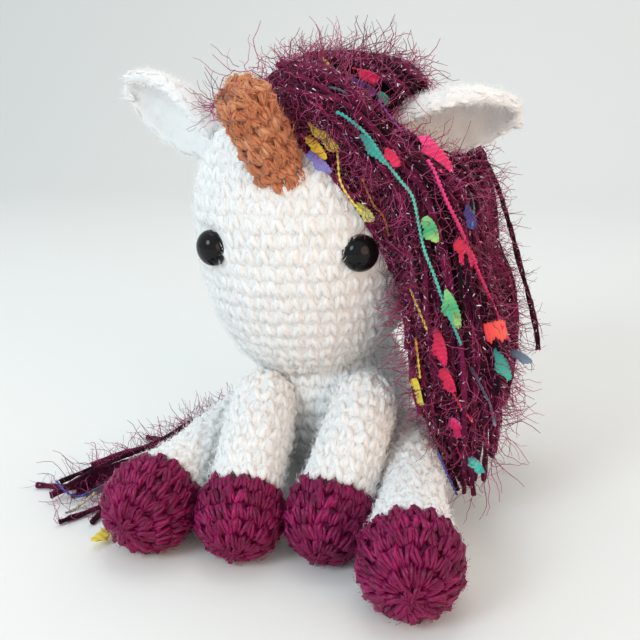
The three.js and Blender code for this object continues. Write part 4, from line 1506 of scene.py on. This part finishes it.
# locks in millimetres: points along the middle, and half the thickness and width at each of them
frontLock = {
    "along": [(12, -27, 133), (31, -26, 122), (44, -24, 98), (49, -24, 70), (52, -24, 44), (56.5, -25, 18),
              (59, -26, 3)],
    "thick": [7.5, 10, 13, 15, 13, 8.5, 6], "wide": [12, 13, 14, 14, 13, 10, 8],
    "strands": 100, "stops": (0.70, 0.94), "slant": 0.14, "side": (0, 1, 0),
    "starts": [(-9, -16, 145), (1, -33, 126)],
}
backLock = {
    "along": [(8, 25, 132), (30, 28, 122), (48, 26, 100), (56, 21, 74), (58, 15, 48), (58, 9, 22)],
    "thick": [7, 7, 7, 7.5, 6.5, 5.5], "wide": [8, 9, 11, 12, 11, 8],
    "strands": 60, "stops": (0.80, 1.0), "slant": 0, "side": (0, 1, 0),
    "starts": [(-6, 14, 146), (-2, 30, 130)],
}
tailLock = {
    "along": [(-9, 37, 9), (-36, 27, 7.5), (-56, 8, 6.5), (-67, -15, 6), (-77, -38, 5.5), (-87, -60, 4)],
    "thick": [5.6, 6, 6, 5.5, 5, 3], "wide": [5.6, 6.5, 8, 10, 11, 6],
    "strands": 36, "stops": (0.5, 0.97), "slant": 0, "side": (0, 0, 1), "starts": [(-1, 33, 17), (-2, 35, 9)],
}
lockShared = {
    "depths": (0.74, 1.02), "wave": 1.7 * mm, "steps": 34, "rootSteps": 7, "drift": 0.6, "apart": 0.3,
    "pace": (0.7, 1.5), "acrossWaves": 9, "sideWaves": 7, "rootSpread": (2, 2, 1.5), "table": 1.4 * mm,
    "nudge": 0.01,
}
crestData = {
    "at": mmVector(3, 2, 118), "half": mmVector(34, 34, 31), "strands": 190, "length": (30 * mm, 60 * mm),
    "comb": Vector((0.8, -0.05, -0.45)), "spread": (0.25, 0.3, 0.2), "bend": 0.35, "lowest": -0.35,
    "step": 1.6 * mm, "reach": 3.0 * mm, "earRoom": 13 * mm, "fewest": 6,
}
knotData = {
    "strandThick": 1.0 * mm, "uneven": 0.25 * mm, "spacing": 1.2 * mm, "strandSides": 7, "turns": 7,
    "draw": 0.8 * mm, "voxel": 1.0 * mm, "smooth": 4, "points": 22, "aside": 0.45, "snug": 0.92, "seed": 71,
}
earPlaces = [earFrame(earData, ear) @ mmVector(0, -2, 4) for ear in earData["sides"].values()]


def lockStrands(lock, seed, shared=lockShared):
    # strands that run along a lock, spread round its section and led in from the crest
    draw = random.Random(seed)
    side, wave, nudge = Vector(lock["side"]), shared["wave"], shared["nudge"]
    sections = list(zip(lock["thick"], lock["wide"]))
    upper, lower = (Vector(start) for start in lock["starts"])
    strands = []
    for i in range(lock["strands"]):
        angle = fullTurn * (i + draw.uniform(-shared["apart"], shared["apart"])) / lock["strands"]
        depth, stop = draw.uniform(*shared["depths"]), draw.uniform(*lock["stops"])
        drift = draw.uniform(-shared["drift"], shared["drift"])
        stop *= 1 - lock["slant"] * ((1 + math.cos(angle)) / 2) ** 2
        early, late = draw.uniform(0, drawnTurn), draw.uniform(0, drawnTurn)
        pace = draw.uniform(*shared["pace"])
        points, ways = [], []
        for s in range(shared["steps"] + 1):
            share = stop * s / shared["steps"]
            before, centre, after = (Vector(catmull(lock["along"], share + shift))
                                     for shift in (-nudge, 0, nudge))
            ahead = (after - before).normalized()
            across = (side - ahead * side.dot(ahead)).normalized()
            normal = ahead.cross(across)
            thick, wide = catmull(sections, share) * mm
            turn = angle + drift * share
            outWave = wave * math.sin(early + shared["acrossWaves"] * pace * share)
            sideWave = wave * math.sin(late + shared["sideWaves"] * pace * share)
            outPart = thick * depth * math.cos(turn) + outWave
            sidePart = wide * depth * math.sin(turn) + sideWave
            points.append(centre * mm + normal * outPart + across * sidePart)
            ways.append((normal * math.cos(turn) + across * math.sin(turn)).normalized())
        lead = (lower.lerp(upper, (1 + math.cos(angle)) / 2) + scattered(draw, *shared["rootSpread"])) * mm
        elbow = points[0] - (points[1] - points[0]).normalized() * (points[0] - lead).length * 0.5
        rootPart = []
        for s in range(shared["rootSteps"]):
            t = s / shared["rootSteps"]
            rootPart.append(lead * (1 - t) ** 2 + elbow * (2 * t * (1 - t)) + points[0] * t * t)
        points = [aboveTable(p, shared["table"]) for p in rootPart + points]
        strands.append((points, [ways[0]] * shared["rootSteps"] + ways))
    return strands


def crestStrands(crest, surface, seed):
    # strands combed over the crest: each walks along its surface until it leaves it
    draw = random.Random(seed)
    half = crest["half"]
    strands = []
    while len(strands) < crest["strands"]:
        wild = Vector((draw.gauss(0, 1), draw.gauss(0, 1), draw.gauss(0, 1))).normalized()
        if wild.z < crest["lowest"]:
            continue
        at = crest["at"] + wild * half
        comb = crest["comb"] + scattered(draw, *crest["spread"])
        length = draw.uniform(*crest["length"])
        bend = draw.uniform(-crest["bend"], crest["bend"])
        points, ways, gone = [], [], 0.0
        while gone < length:
            place, out, face, far = surface.find_nearest(at)
            if far > crest["reach"] or any((at - ear).length < crest["earRoom"] for ear in earPlaces):
                break
            ball = at - crest["at"]
            out = Vector((ball.x / half.x ** 2, ball.y / half.y ** 2, ball.z / half.z ** 2)).normalized()
            points.append(place)
            ways.append(out)
            pull = comb + Vector((0, bend, 0)) * gone / length
            ball = place + (pull - out * pull.dot(out)).normalized() * crest["step"] - crest["at"]
            at = crest["at"] + ball / math.sqrt(sum((ball[c] / half[c]) ** 2 for c in range(3)))
            gone += crest["step"]
        if len(points) > crest["fewest"]:
            strands.append((points, ways))
    return strands


def strandLines(name, strands, shift=None):
    # strands as one mesh of edges, each point with its outward and onward direction and its strand's tone
    draw = random.Random(len(strands))
    corners, edges, outs, ons, tones = [], [], [], [], []
    for points, ways in strands:
        if shift:
            points = [shift(p) for p in points]
        first, last = len(corners), len(points) - 1
        corners += points
        outs += ways
        ons += [alongLine(points, i) for i in range(last + 1)]
        edges += [(first + i, first + i + 1) for i in range(last)]
        tones += [draw.choice(maneData["tones"])] * (last + 1)
    lines = meshObject(name, corners, (), edges)
    storeValues(lines, "strandTone", tones)
    storeVectors(lines, outward=outs, onward=ons)
    return lines


def swinging(piece):
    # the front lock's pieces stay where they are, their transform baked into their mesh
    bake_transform(piece)


def strandTubes(name, lines, sizes=maneData, thicker=1.0):
    return runTree(name, lines, strandTree, Thickness=thicker * sizes["strandThick"], Uneven=sizes["uneven"],
                   Spacing=sizes["spacing"], Sides=sizes["strandSides"], Yarn=manePaint)


def looseYarn(name, lines, carry, seed, sparse=1.0, parts=("matted", "flying", "foils"), scale=1.0):
    # lashes and foils along the strands, a piece of each
    for i, part in enumerate(parts):
        sizes = maneData[part]
        piece = runTree(f"{name}_{part}", lines, lashTree, Shapes=looseShapes[part], Gap=sizes["gap"] * sparse,
                        Length=sizes["length"] * scale, Shortest=sizes["shortest"], Outward=sizes["outward"],
                        Wild=sizes["wild"], Onward=sizes["onward"], Lift=sizes["lift"], Seed=seed + i,
                        Yarn=loosePaint[part])
        keepOffTable(piece)
        register(piece, carry)
        say(f"{piece.name}: {len(piece.data.polygons)} faces")
    dropObject(lines)


def yarnBundle(name, strands, carry, stoodFor, seed, shift, sparse=1.0, draw=maneData["coreDraw"], coreTone=0,
               parts=("matted", "flying", "foils")):
    # strands with their lashes and foils over the drawn-in core of the CAD solid; a core without coreTone takes
    # the darkest strand colour, painted shade deep in the lock
    lines = strandLines(name + "Lines", strands, shift)
    tubes = strandTubes(name + "_strands", lines)
    keepOffTable(tubes)
    core = copyOfNode(name + "_core", stoodFor, draw, maneData["coreVoxel"], maneData["coreSmooth"])
    for corner in core.data.vertices:
        corner.co = shift(corner.co)
    core.data.materials.append(manePaint)
    if coreTone:
        storeValues(core, "strandTone", [coreTone] * len(core.data.vertices))
    for piece, fill in ((core, maneData["fill"]), (tubes, None)):
        register(piece, carry, (stoodFor,))
        say(f"{piece.name}: {len(piece.data.polygons)} faces")
    looseYarn(name, lines, carry, seed, sparse, parts)


def makeKnot(data):
    # the tail's yarn is wound round itself where it is tied on
    core = copyOfNode("tail_knot_core", "tail_knot", data["draw"], data["voxel"], data["smooth"])
    # the knot's core has no strandTone, so it takes the darkest strand colour: painted shade under the turns
    core.data.materials.append(manePaint)
    low, high = (Vector(corner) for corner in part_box("tail_knot"))
    centre, radius = (low + high) / 2, (high - low).length / 2 / math.sqrt(3)
    draw = random.Random(data["seed"])
    angles = [fullTurn * k / data["points"] for k in range(data["points"] - 1)]
    strands = []
    for i in range(data["turns"]):
        axis = Vector((draw.uniform(-0.5, 0.5), 1, draw.uniform(-0.5, 0.5))).normalized()
        first = axis.orthogonal().normalized()
        second = axis.cross(first)
        shift = axis * radius * draw.uniform(-data["aside"], data["aside"])
        around = math.sqrt(radius ** 2 - shift.length ** 2) * data["snug"]
        points = [centre + shift + (first * math.cos(a) + second * math.sin(a)) * around for a in angles]
        strands.append((points, [(p - centre).normalized() for p in points]))
    lines = strandLines("knotLines", strands)
    turns = strandTubes("tail_knot_turns", lines, data)
    for piece, fill in ((core, maneData["fill"]), (turns, None)):
        register(piece, riding("body"), ("tail_knot",))
    dropObject(lines)


def surfaceOf(nodes, shifts):
    # the nodes' surfaces, where their yarn is shown
    corners, faces = [], []
    for node in nodes:
        mesh = frame["nodes"][node].data
        faces += [tuple(len(corners) + i for i in p.vertices) for p in mesh.polygons]
        corners += [shifts.get(node, Vector.copy)(v.co) for v in mesh.vertices]
    return BVHTree.FromPolygons(corners, faces)


crestLines = crestStrands(crestData, surfaceOf(["mane_crest"], {}), seed=51)
yarnBundle("mane_crest", crestLines, riding("head"), "mane_crest", seed=61, shift=besideEar)
yarnBundle("mane_back", lockStrands(backLock, seed=52), riding("head"), "mane_back_lock", seed=62,
           shift=slimmed, draw=3.6 * mm)
yarnBundle("mane_front", lockStrands(frontLock, seed=53), swinging, "mane_front_lock", seed=63, shift=dipped)
yarnBundle("tail", lockStrands(tailLock, seed=54), riding("tail"), "tail_lock", seed=64, shift=settled,
           sparse=0.55, draw=3.4 * mm, coreTone=1.1, parts=("matted", "flying"))
makeKnot(knotData)
say("mane and tail are in")


# Strands and ribbons that are placed by where the camera sees them, laid on the mane or the head

sightData = {"beside": mmVector(46, -28, 90), "spacing": 4.0, "fewest": 4, "smoothings": 3, "lean": 0.6}
reshaped = {"mane_front_lock": dipped, "mane_back_lock": slimmed, "mane_crest": besideEar, "tail_lock": settled}
besideReach = (sightData["beside"] - cameraData["at"]).length
ribbonSurface = surfaceOf(("head_cover", "mane_front_lock", "mane_crest", "mane_back_lock"), reshaped)


def onPicture(points, lift, surface, depthAt=None, spacing=sightData["spacing"]):
    # a line through these places of the image, in front of the surface, or at the depth of a given point
    at, ahead = cameraData["at"], cameraData["forward"]
    flat = np.asarray(points, float)
    whole = np.linalg.norm(np.diff(flat, axis=0), axis=1).sum()
    count = max(sightData["fewest"], round(whole / spacing) + 1)
    rays, far, outs = [], [], []
    for i in range(count):
        ray = sightLine(*catmull(flat, i / (count - 1)))
        place, out, face, distance = surface.ray_cast(at, ray)
        if depthAt is not None:
            distance = (depthAt - at).dot(ahead) / ray.dot(ahead)
        elif distance is None:
            # the line of sight passes beside the surface: as far off as the surface nearest to it
            nearest, out, face, gap = surface.find_nearest(at + ray * besideReach)
            distance = (nearest - at).dot(ray)
        rays.append(ray)
        far.append(distance)
        outs.append(-ray if out is None else (out - ray * sightData["lean"]).normalized())
    far = np.array(far)
    smooth = far.copy()
    for again in range(sightData["smoothings"]):
        padded = np.concatenate([smooth[:1], smooth, smooth[-1:]])
        smooth = (padded[:-2] + 2 * padded[1:-1] + padded[2:]) / 4
    far = np.minimum(smooth, far) - lift
    return [at + ray * f for ray, f in zip(rays, far)], outs


def onTable(points, height):
    # a line at this height over the table through these places of the image
    last = 3 * len(points) - 1
    line = []
    for i in range(last + 1):
        ray = sightLine(*catmull(points, i / last))
        line.append(cameraData["at"] + ray * ((height - cameraData["at"].z) / ray.z))
    return line, [upAxis] * len(line)


# The front edge of the mane, which lies on the forehead before it joins the lock

fringeData = {
    "strands": 26, "lift": 0.7 * mm, "liftMore": 1.2, "apart": 0.4, "shorter": (0, 0, 1, 2, 3), "seed": 81,
    "wave": 2.2, "waves": 1.4, "pace": (0.8, 1.5), "surface": ("head_cover", "mane_front_lock", "mane_crest"),
    "lower": [(268, 116), (290, 139), (317, 160), (340, 184), (361, 212), (380, 243), (394, 276), (403, 312),
              (408, 350), (413, 384), (421, 414)],
    "upper": [(284, 92), (318, 110), (350, 134), (378, 163), (398, 198), (410, 235), (418, 275), (424, 315),
              (430, 355), (435, 392), (440, 428)],
}


def makeFringe(data):
    draw = random.Random(data["seed"])
    surface = surfaceOf(data["surface"], reshaped)
    lower, upper = np.array(data["lower"]), np.array(data["upper"])
    strands = []
    for i in range(data["strands"]):
        share = (i + draw.uniform(-data["apart"], data["apart"])) / (data["strands"] - 1)
        slow, fast = draw.uniform(0, drawnTurn), draw.uniform(*data["pace"])
        stop = len(lower) - draw.choice(data["shorter"])
        path = [lower[k] * (1 - share) + upper[k] * share
                + data["wave"] * math.sin(slow + data["waves"] * fast * k)
                for k in range(stop)]
        strands.append(onPicture(path, data["lift"] + draw.uniform(0, data["liftMore"]) * mm, surface))
    lines = strandLines("fringeLines", strands)
    register(strandTubes("mane_fringe_strands", lines), swinging)
    looseYarn("mane_fringe", lines, swinging, data["seed"] + 1)


makeFringe(fringeData)


# Coloured ribbon thread: twisted threads with small woven flags on them

ribbonShades = {
    "turquoise": [tint(40, 170, 165), tint(96, 214, 190), tint(60, 180, 170)],
    "teal": [tint(20, 120, 120), tint(70, 180, 160)],
    "leaf": [tint(130, 200, 130), tint(60, 165, 110), tint(176, 214, 120)],
    "pink": [tint(244, 60, 140), tint(226, 20, 96), tint(236, 40, 110)],
    "crimson": [tint(196, 16, 60), tint(232, 36, 96)],
    "coral": [tint(226, 50, 60), tint(244, 104, 84)],
    "violet": [tint(120, 60, 150), tint(170, 70, 160)],
    "navy": [tint(40, 40, 110), tint(66, 64, 150)],
    "blue": [tint(70, 80, 170), tint(50, 60, 140)],
    "periwinkle": [tint(96, 96, 170), tint(140, 132, 196)],
    "slate": [tint(40, 46, 70), tint(120, 140, 160)],
    "gold": [tint(200, 150, 20), tint(232, 196, 60)],
    "straw": [tint(118, 96, 84), tint(206, 190, 160), tint(150, 124, 100), tint(244, 238, 222)],
    "yellow": [tint(222, 196, 50), tint(240, 220, 96)],
    "lime": [tint(190, 200, 80), tint(220, 226, 150)],
    "orange": [tint(224, 150, 30), tint(240, 176, 50)],
}
# threads: shade, half thickness in mm, twist pitch in mm, and the places of the image that each passes through
# flags: shade, the two ends in the image, half width in mm, ribs, how pointed its ends are
ribbonData = {
    "crest": {
        "carry": riding("head"), "surface": ribbonSurface, "lift": 3.4 * mm,
        "threads": [
            ("violet", 0.45, 1.6, [(318, 74), (336, 76), (350, 79)]),
            ("slate", 0.5, 1.4, [(322, 86), (340, 90), (361, 102), (379, 114)]),
            ("teal", 0.5, 1.5, [(378, 92), (384, 98), (388, 104)]),
            ("crimson", 0.4, 1.6, [(352, 68), (366, 72), (380, 78)]),
            ("yellow", 0.6, 1.5, [(322, 58), (327, 63), (330, 68)]),
        ],
        "flags": [
            ("navy", (346, 78), (376, 93), 2.0, 7, 0.4),
            ("crimson", (359, 71), (379, 79), 1.9, 5, 0.7),
            ("blue", (320, 73), (340, 77), 1.0, 5, 0.6),
            ("teal", (379, 92), (390, 103), 1.5, 4, 0.6),
        ],
    },
    "lock": {
        "carry": swinging, "surface": surfaceOf(("head_cover", "mane_front_lock"), reshaped), "lift": 3.3 * mm,
        "threads": [
            ("turquoise", 0.62, 1.3, [(336, 112), (346, 117), (367, 135), (383, 158), (400, 180), (412, 196),
                                      (418, 220), (424, 249), (434, 275), (442, 298), (455, 330), (461, 345)]),
            ("violet", 0.45, 1.6, [(378, 100), (391, 118), (404, 134), (413, 142)]),
            ("pink", 0.72, 1.4, [(428, 160), (436, 175), (446, 200), (459, 226), (471, 255), (483, 284),
                                 (495, 310), (508, 340)]),
            ("orange", 0.45, 1.8, [(362, 178), (373, 204), (383, 216), (389, 236)]),
            ("yellow", 0.5, 1.8, [(405, 270), (412, 293), (420, 312), (427, 330)]),
            ("gold", 0.45, 1.8, [(414, 326), (417, 350), (420, 378)]),
            ("crimson", 0.55, 1.7, [(447, 384), (453, 393), (463, 410), (473, 422)]),
            ("pink", 0.4, 1.7, [(452, 424), (456, 440), (459, 453), (471, 471)]),
            ("slate", 0.5, 1.6, [(471, 367), (480, 385), (490, 405), (495, 426)]),
            ("blue", 0.45, 1.6, [(438, 453), (446, 472), (457, 495)]),
            ("teal", 0.4, 1.6, [(470, 192), (474, 208), (472, 226)]),
        ],
        "flags": [
            ("teal", (361, 134), (388, 164), 1.5, 9, 0.9),
            ("leaf", (426, 216), (438, 242), 2.4, 7, 0.9),
            ("leaf", (446, 289), (460, 328), 2.3, 9, 1.0),
            ("pink", (424, 136), (449, 172), 3.7, 9, 0.45),
            ("crimson", (386, 148), (400, 166), 1.6, 5, 0.8),
            ("crimson", (457, 239), (474, 264), 2.3, 7, 0.5),
            ("coral", (484, 330), (506, 326), 3.0, 6, 0.2),
            ("teal", (495, 348), (510, 380), 2.1, 8, 0.9),
            ("slate", (511, 350), (532, 362), 1.4, 6, 0.8),
            ("lime", (357, 203), (374, 221), 1.7, 6, 0.9),
            ("crimson", (437, 329), (446, 366), 2.2, 8, 1.0),
            ("crimson", (443, 368), (455, 392), 2.0, 6, 0.7),
            ("pink", (452, 418), (466, 437), 2.2, 6, 0.8),
            ("yellow", (415, 378), (423, 405), 1.5, 6, 0.5),
            ("turquoise", (470, 457), (484, 472), 1.7, 5, 0.8),
            ("navy", (466, 205), (474, 228), 2.0, 6, 0.6),
        ],
    },
    "fringe": {
        "carry": swinging, "surface": ribbonSurface, "lift": 5.2 * mm,
        "threads": [("yellow", 0.45, 1.8, [(320, 128), (336, 147), (340, 180), (351, 200), (362, 212)])],
        "flags": [
            ("yellow", (311, 121), (337, 150), 1.7, 11, 0.3),
            ("gold", (308, 136), (326, 159), 1.7, 7, 0.7),
            ("periwinkle", (309, 152), (331, 173), 1.6, 8, 0.5),
        ],
    },
    "tail": {
        "carry": riding("tail"), "surface": surfaceOf(("tail_lock",), reshaped), "lift": 2.6 * mm,
        "threads": [
            ("blue", 0.5, 1.5, [(56, 481), (69, 494), (84, 495), (108, 482)]),
            ("straw", 0.7, 2.2, [(66, 516), (80, 505), (94, 494), (112, 480)]),
        ],
        "flags": [("slate", (86, 496), (108, 483), 1.2, 6, 0.8)],
    },
    "table": {
        "carry": riding("tail"), "lift": 5 * mm,
        "surface": BVHTree.FromPolygons([(-0.3, -0.3, 0), (0.3, -0.3, 0), (0.3, 0.3, 0), (-0.3, 0.3, 0)],
                                        [(0, 1, 2, 3)]),
        "threads": [],
        "flags": [("yellow", (93, 541), (113, 527), 2.0, 4, 0.3)],
    },
}
flagShape = {
    "thread": {"flatness": 0.5, "spacing": 0.35 * mm},
    "spacing": 3.0, "stepsPerRib": 4, "side": 5, "taper": 0.85,
    "power": 2.2, "ridge": 0.16 * mm, "half": 0.12 * mm, "cup": 0.35 * mm, "curl": 0.3 * mm, "curlAlong": 5,
    "curlAcross": 2, "ribFringe": 0.10, "fray": 0.22, "frayPace": 11, "wider": 1.25, "narrower": 0.7,
}
ribbonPaint = {name: toneMaterial("ribbon_" + name, shades, sheen=0.2, specular=0.4)
               for name, shades in ribbonShades.items()}


def flagFaces(steps, side):
    # a sheet of two layers, closed along its sides and at its ends
    row = 2 * side
    faces = []
    for i in range(steps):
        for k in range(side - 1):
            a, b = i * row + k, i * row + side + k
            faces += [(a, a + 1, a + row + 1, a + row), (b, b + row, b + row + 1, b + 1)]
        for k in (0, side - 1):
            a, b = i * row + k, i * row + side + k
            faces.append((a, a + row, b + row, b) if k == 0 else (a, b, b + row, a + row))
    for i in (0, steps):
        for k in range(side - 1):
            a, b = i * row + k, i * row + side + k
            faces.append((a, b, b + 1, a + 1) if i == 0 else (a, a + 1, b + 1, b))
    return faces


def makeFlag(name, group, flag, shape):
    # a woven flag: ribs side by side, narrower towards its ends, a little curled
    shade, start, end, half, ribs, pointed = flag
    points, outs = onPicture([start, end], group["lift"], group["surface"], spacing=shape["spacing"])
    first, last = points[0], points[-1]
    out = sum(outs, Vector()).normalized()
    across = (last - first).normalized().cross(out).normalized()
    out = across.cross((last - first).normalized())
    steps, side = ribs * shape["stepsPerRib"], shape["side"]
    corners, tones = [], []
    for i in range(steps + 1):
        t = i / steps
        reach = half * mm * (1 - pointed * shape["taper"] * abs(2 * t - 1) ** shape["power"])
        rib = math.sin(fullTurn * ribs * t)
        for layer in (shape["half"], -shape["half"]):
            for k in range(side):
                s = 2 * k / (side - 1) - 1
                bend = math.sin(shape["curlAlong"] * t + shape["curlAcross"] * s)
                curl = shape["cup"] * s * s + shape["curl"] * bend
                fray = shape["fray"] * math.sin(shape["frayPace"] * t + ribs) if s > 0 else 0
                wider = shape["wider" if s > 0 else "narrower"]
                lean = s * reach * (1 + shape["ribFringe"] * rib + fray) * wider
                raised = layer + shape["ridge"] * rib + curl
                corners.append(first.lerp(last, t) + across * lean + out * raised)
                tones.append(t)
    made = meshObject(name, corners, flagFaces(steps, side))
    keepOffTable(made)
    facesOut(made)
    smoothShade(made)
    storeValues(made, "tone", tones)
    made.data.materials.append(ribbonPaint[shade])
    register(made, group["carry"])


def makeThread(name, group, half, pitch, points, shade, shape):
    lines = strandLines("threadLine", [onPicture(points, group["lift"], group["surface"])])
    thread = runTree(name, lines, threadTree, Thickness=half * mm, Flatness=shape["flatness"], Pitch=pitch * mm,
                     Spacing=shape["spacing"], Yarn=ribbonPaint[shade])
    dropObject(lines)
    keepOffTable(thread)
    register(thread, group["carry"])


for place, group in ribbonData.items():
    for i, (shade, half, pitch, points) in enumerate(group["threads"]):
        makeThread(f"{place}_thread{i}_{shade}", group, half, pitch, points, shade, flagShape["thread"])
    for i, flag in enumerate(group["flags"]):
        makeFlag(f"{place}_flag{i}_{flag[0]}", group, flag, flagShape)
say("ribbons are in")


# Stray strands that stand clear of the locks, and clouds of long hairs at the mane's and the tail's edges

strayData = {
    "thicker": 1.15, "sparse": 0.4, "scale": 0.75,
    "tableLift": 1.3 * mm, "cloudLift": 1.0 * mm, "cloudOnTable": 0.8 * mm,
    "seeds": {"back": 91, "tail": 93, "clouds": 95}, "backDepth": mmVector(52, 22, 90),
    "back": [(470, 140), (478, 150), (495, 180), (508, 220), (520, 265), (531, 305), (537, 335), (538, 350)],
    "tail": [[(150, 468), (128, 478), (104, 485), (70, 487), (37, 485)],
             [(172, 446), (152, 452), (133, 460), (105, 468)],
             [(206, 424), (186, 430), (169, 440), (147, 437)], [(140, 478), (118, 497), (90, 511), (59, 522)],
             [(152, 470), (130, 490), (108, 506), (92, 522)], [(150, 480), (133, 500), (122, 516), (111, 529)]],
    # clouds of long hairs: what they ride, the nodes they grow from, or none for the table, their gap and
    # length as shares of the usual ones, and their lines in the image
    "clouds": {
        "horn_side": (riding("head"), ("head_cover", "horn_cover", "mane_crest", "ear_right"), 0.28, 1.0,
                      [[(262, 72), (242, 66), (228, 76)], [(240, 82), (226, 98), (221, 122)],
                       [(230, 86), (216, 102), (208, 118)]]),
        "cheek": (riding("mane_front"), ("head_cover", "mane_front_lock"), 0.3, 1.0,
                  [[(402, 268), (405, 320), (410, 370)], [(416, 378), (424, 410), (436, 446)]]),
        "crest_top": (riding("head"), ("mane_crest",), 0.3, 1.15,
                      [[(258, 80), (272, 66), (300, 56), (345, 50), (385, 52), (412, 62)],
                       [(300, 60), (350, 54), (400, 60), (420, 76)]]),
        "lock_edge": (riding("mane_front"), ("mane_front_lock",), 0.25, 1.15,
                      [[(514, 365), (512, 400), (505, 432)], [(500, 400), (497, 440), (488, 476)]]),
        "tail_end": (riding("tail"), (), 0.25, 1.0,
                     [[(108, 478), (82, 482), (52, 486)], [(112, 492), (84, 500), (56, 506)],
                      [(110, 506), (84, 516), (58, 524)]]),
    },
}


def makeStray(name, strands, carry, seed, data):
    lines = strandLines(name + "Lines", strands)
    tubes = strandTubes(name + "_strands", lines, thicker=data["thicker"])
    keepOffTable(tubes)
    register(tubes, carry)
    looseYarn(name, lines, carry, seed, data["sparse"], scale=data["scale"])


def makeCloud(name, cloud, seed, data):
    carry, nodes, sparse, scale, lines = cloud
    if nodes:
        surface = surfaceOf(nodes, reshaped)
        strands = [onPicture(points, data["cloudLift"], surface) for points in lines]
    else:
        strands = [onTable(points, data["cloudOnTable"]) for points in lines]
    looseYarn(name, strandLines(name + "Lines", strands), carry, seed, sparse, ("flying",), scale)


def makeStrays(data):
    seeds = data["seeds"]
    back = onPicture(data["back"], 0, ribbonSurface, data["backDepth"])
    makeStray("stray_back", [back], riding("head"), seeds["back"], data)
    tail = [onTable(points, data["tableLift"]) for points in data["tail"]]
    makeStray("stray_tail", tail, riding("tail"), seeds["tail"], data)
    for i, (name, cloud) in enumerate(data["clouds"].items()):
        makeCloud(name, cloud, seeds["clouds"] + i, data)


makeStrays(strayData)
say("strays and loose hairs are in")


# The helper shapes aren't part of the toy
for kept in (*stitchSets.values(), tuftSet, *looseShapes.values()):
    for helper in list(kept.objects):
        dropObject(helper)
    bpy.data.collections.remove(kept)
dropObject(shortHair)
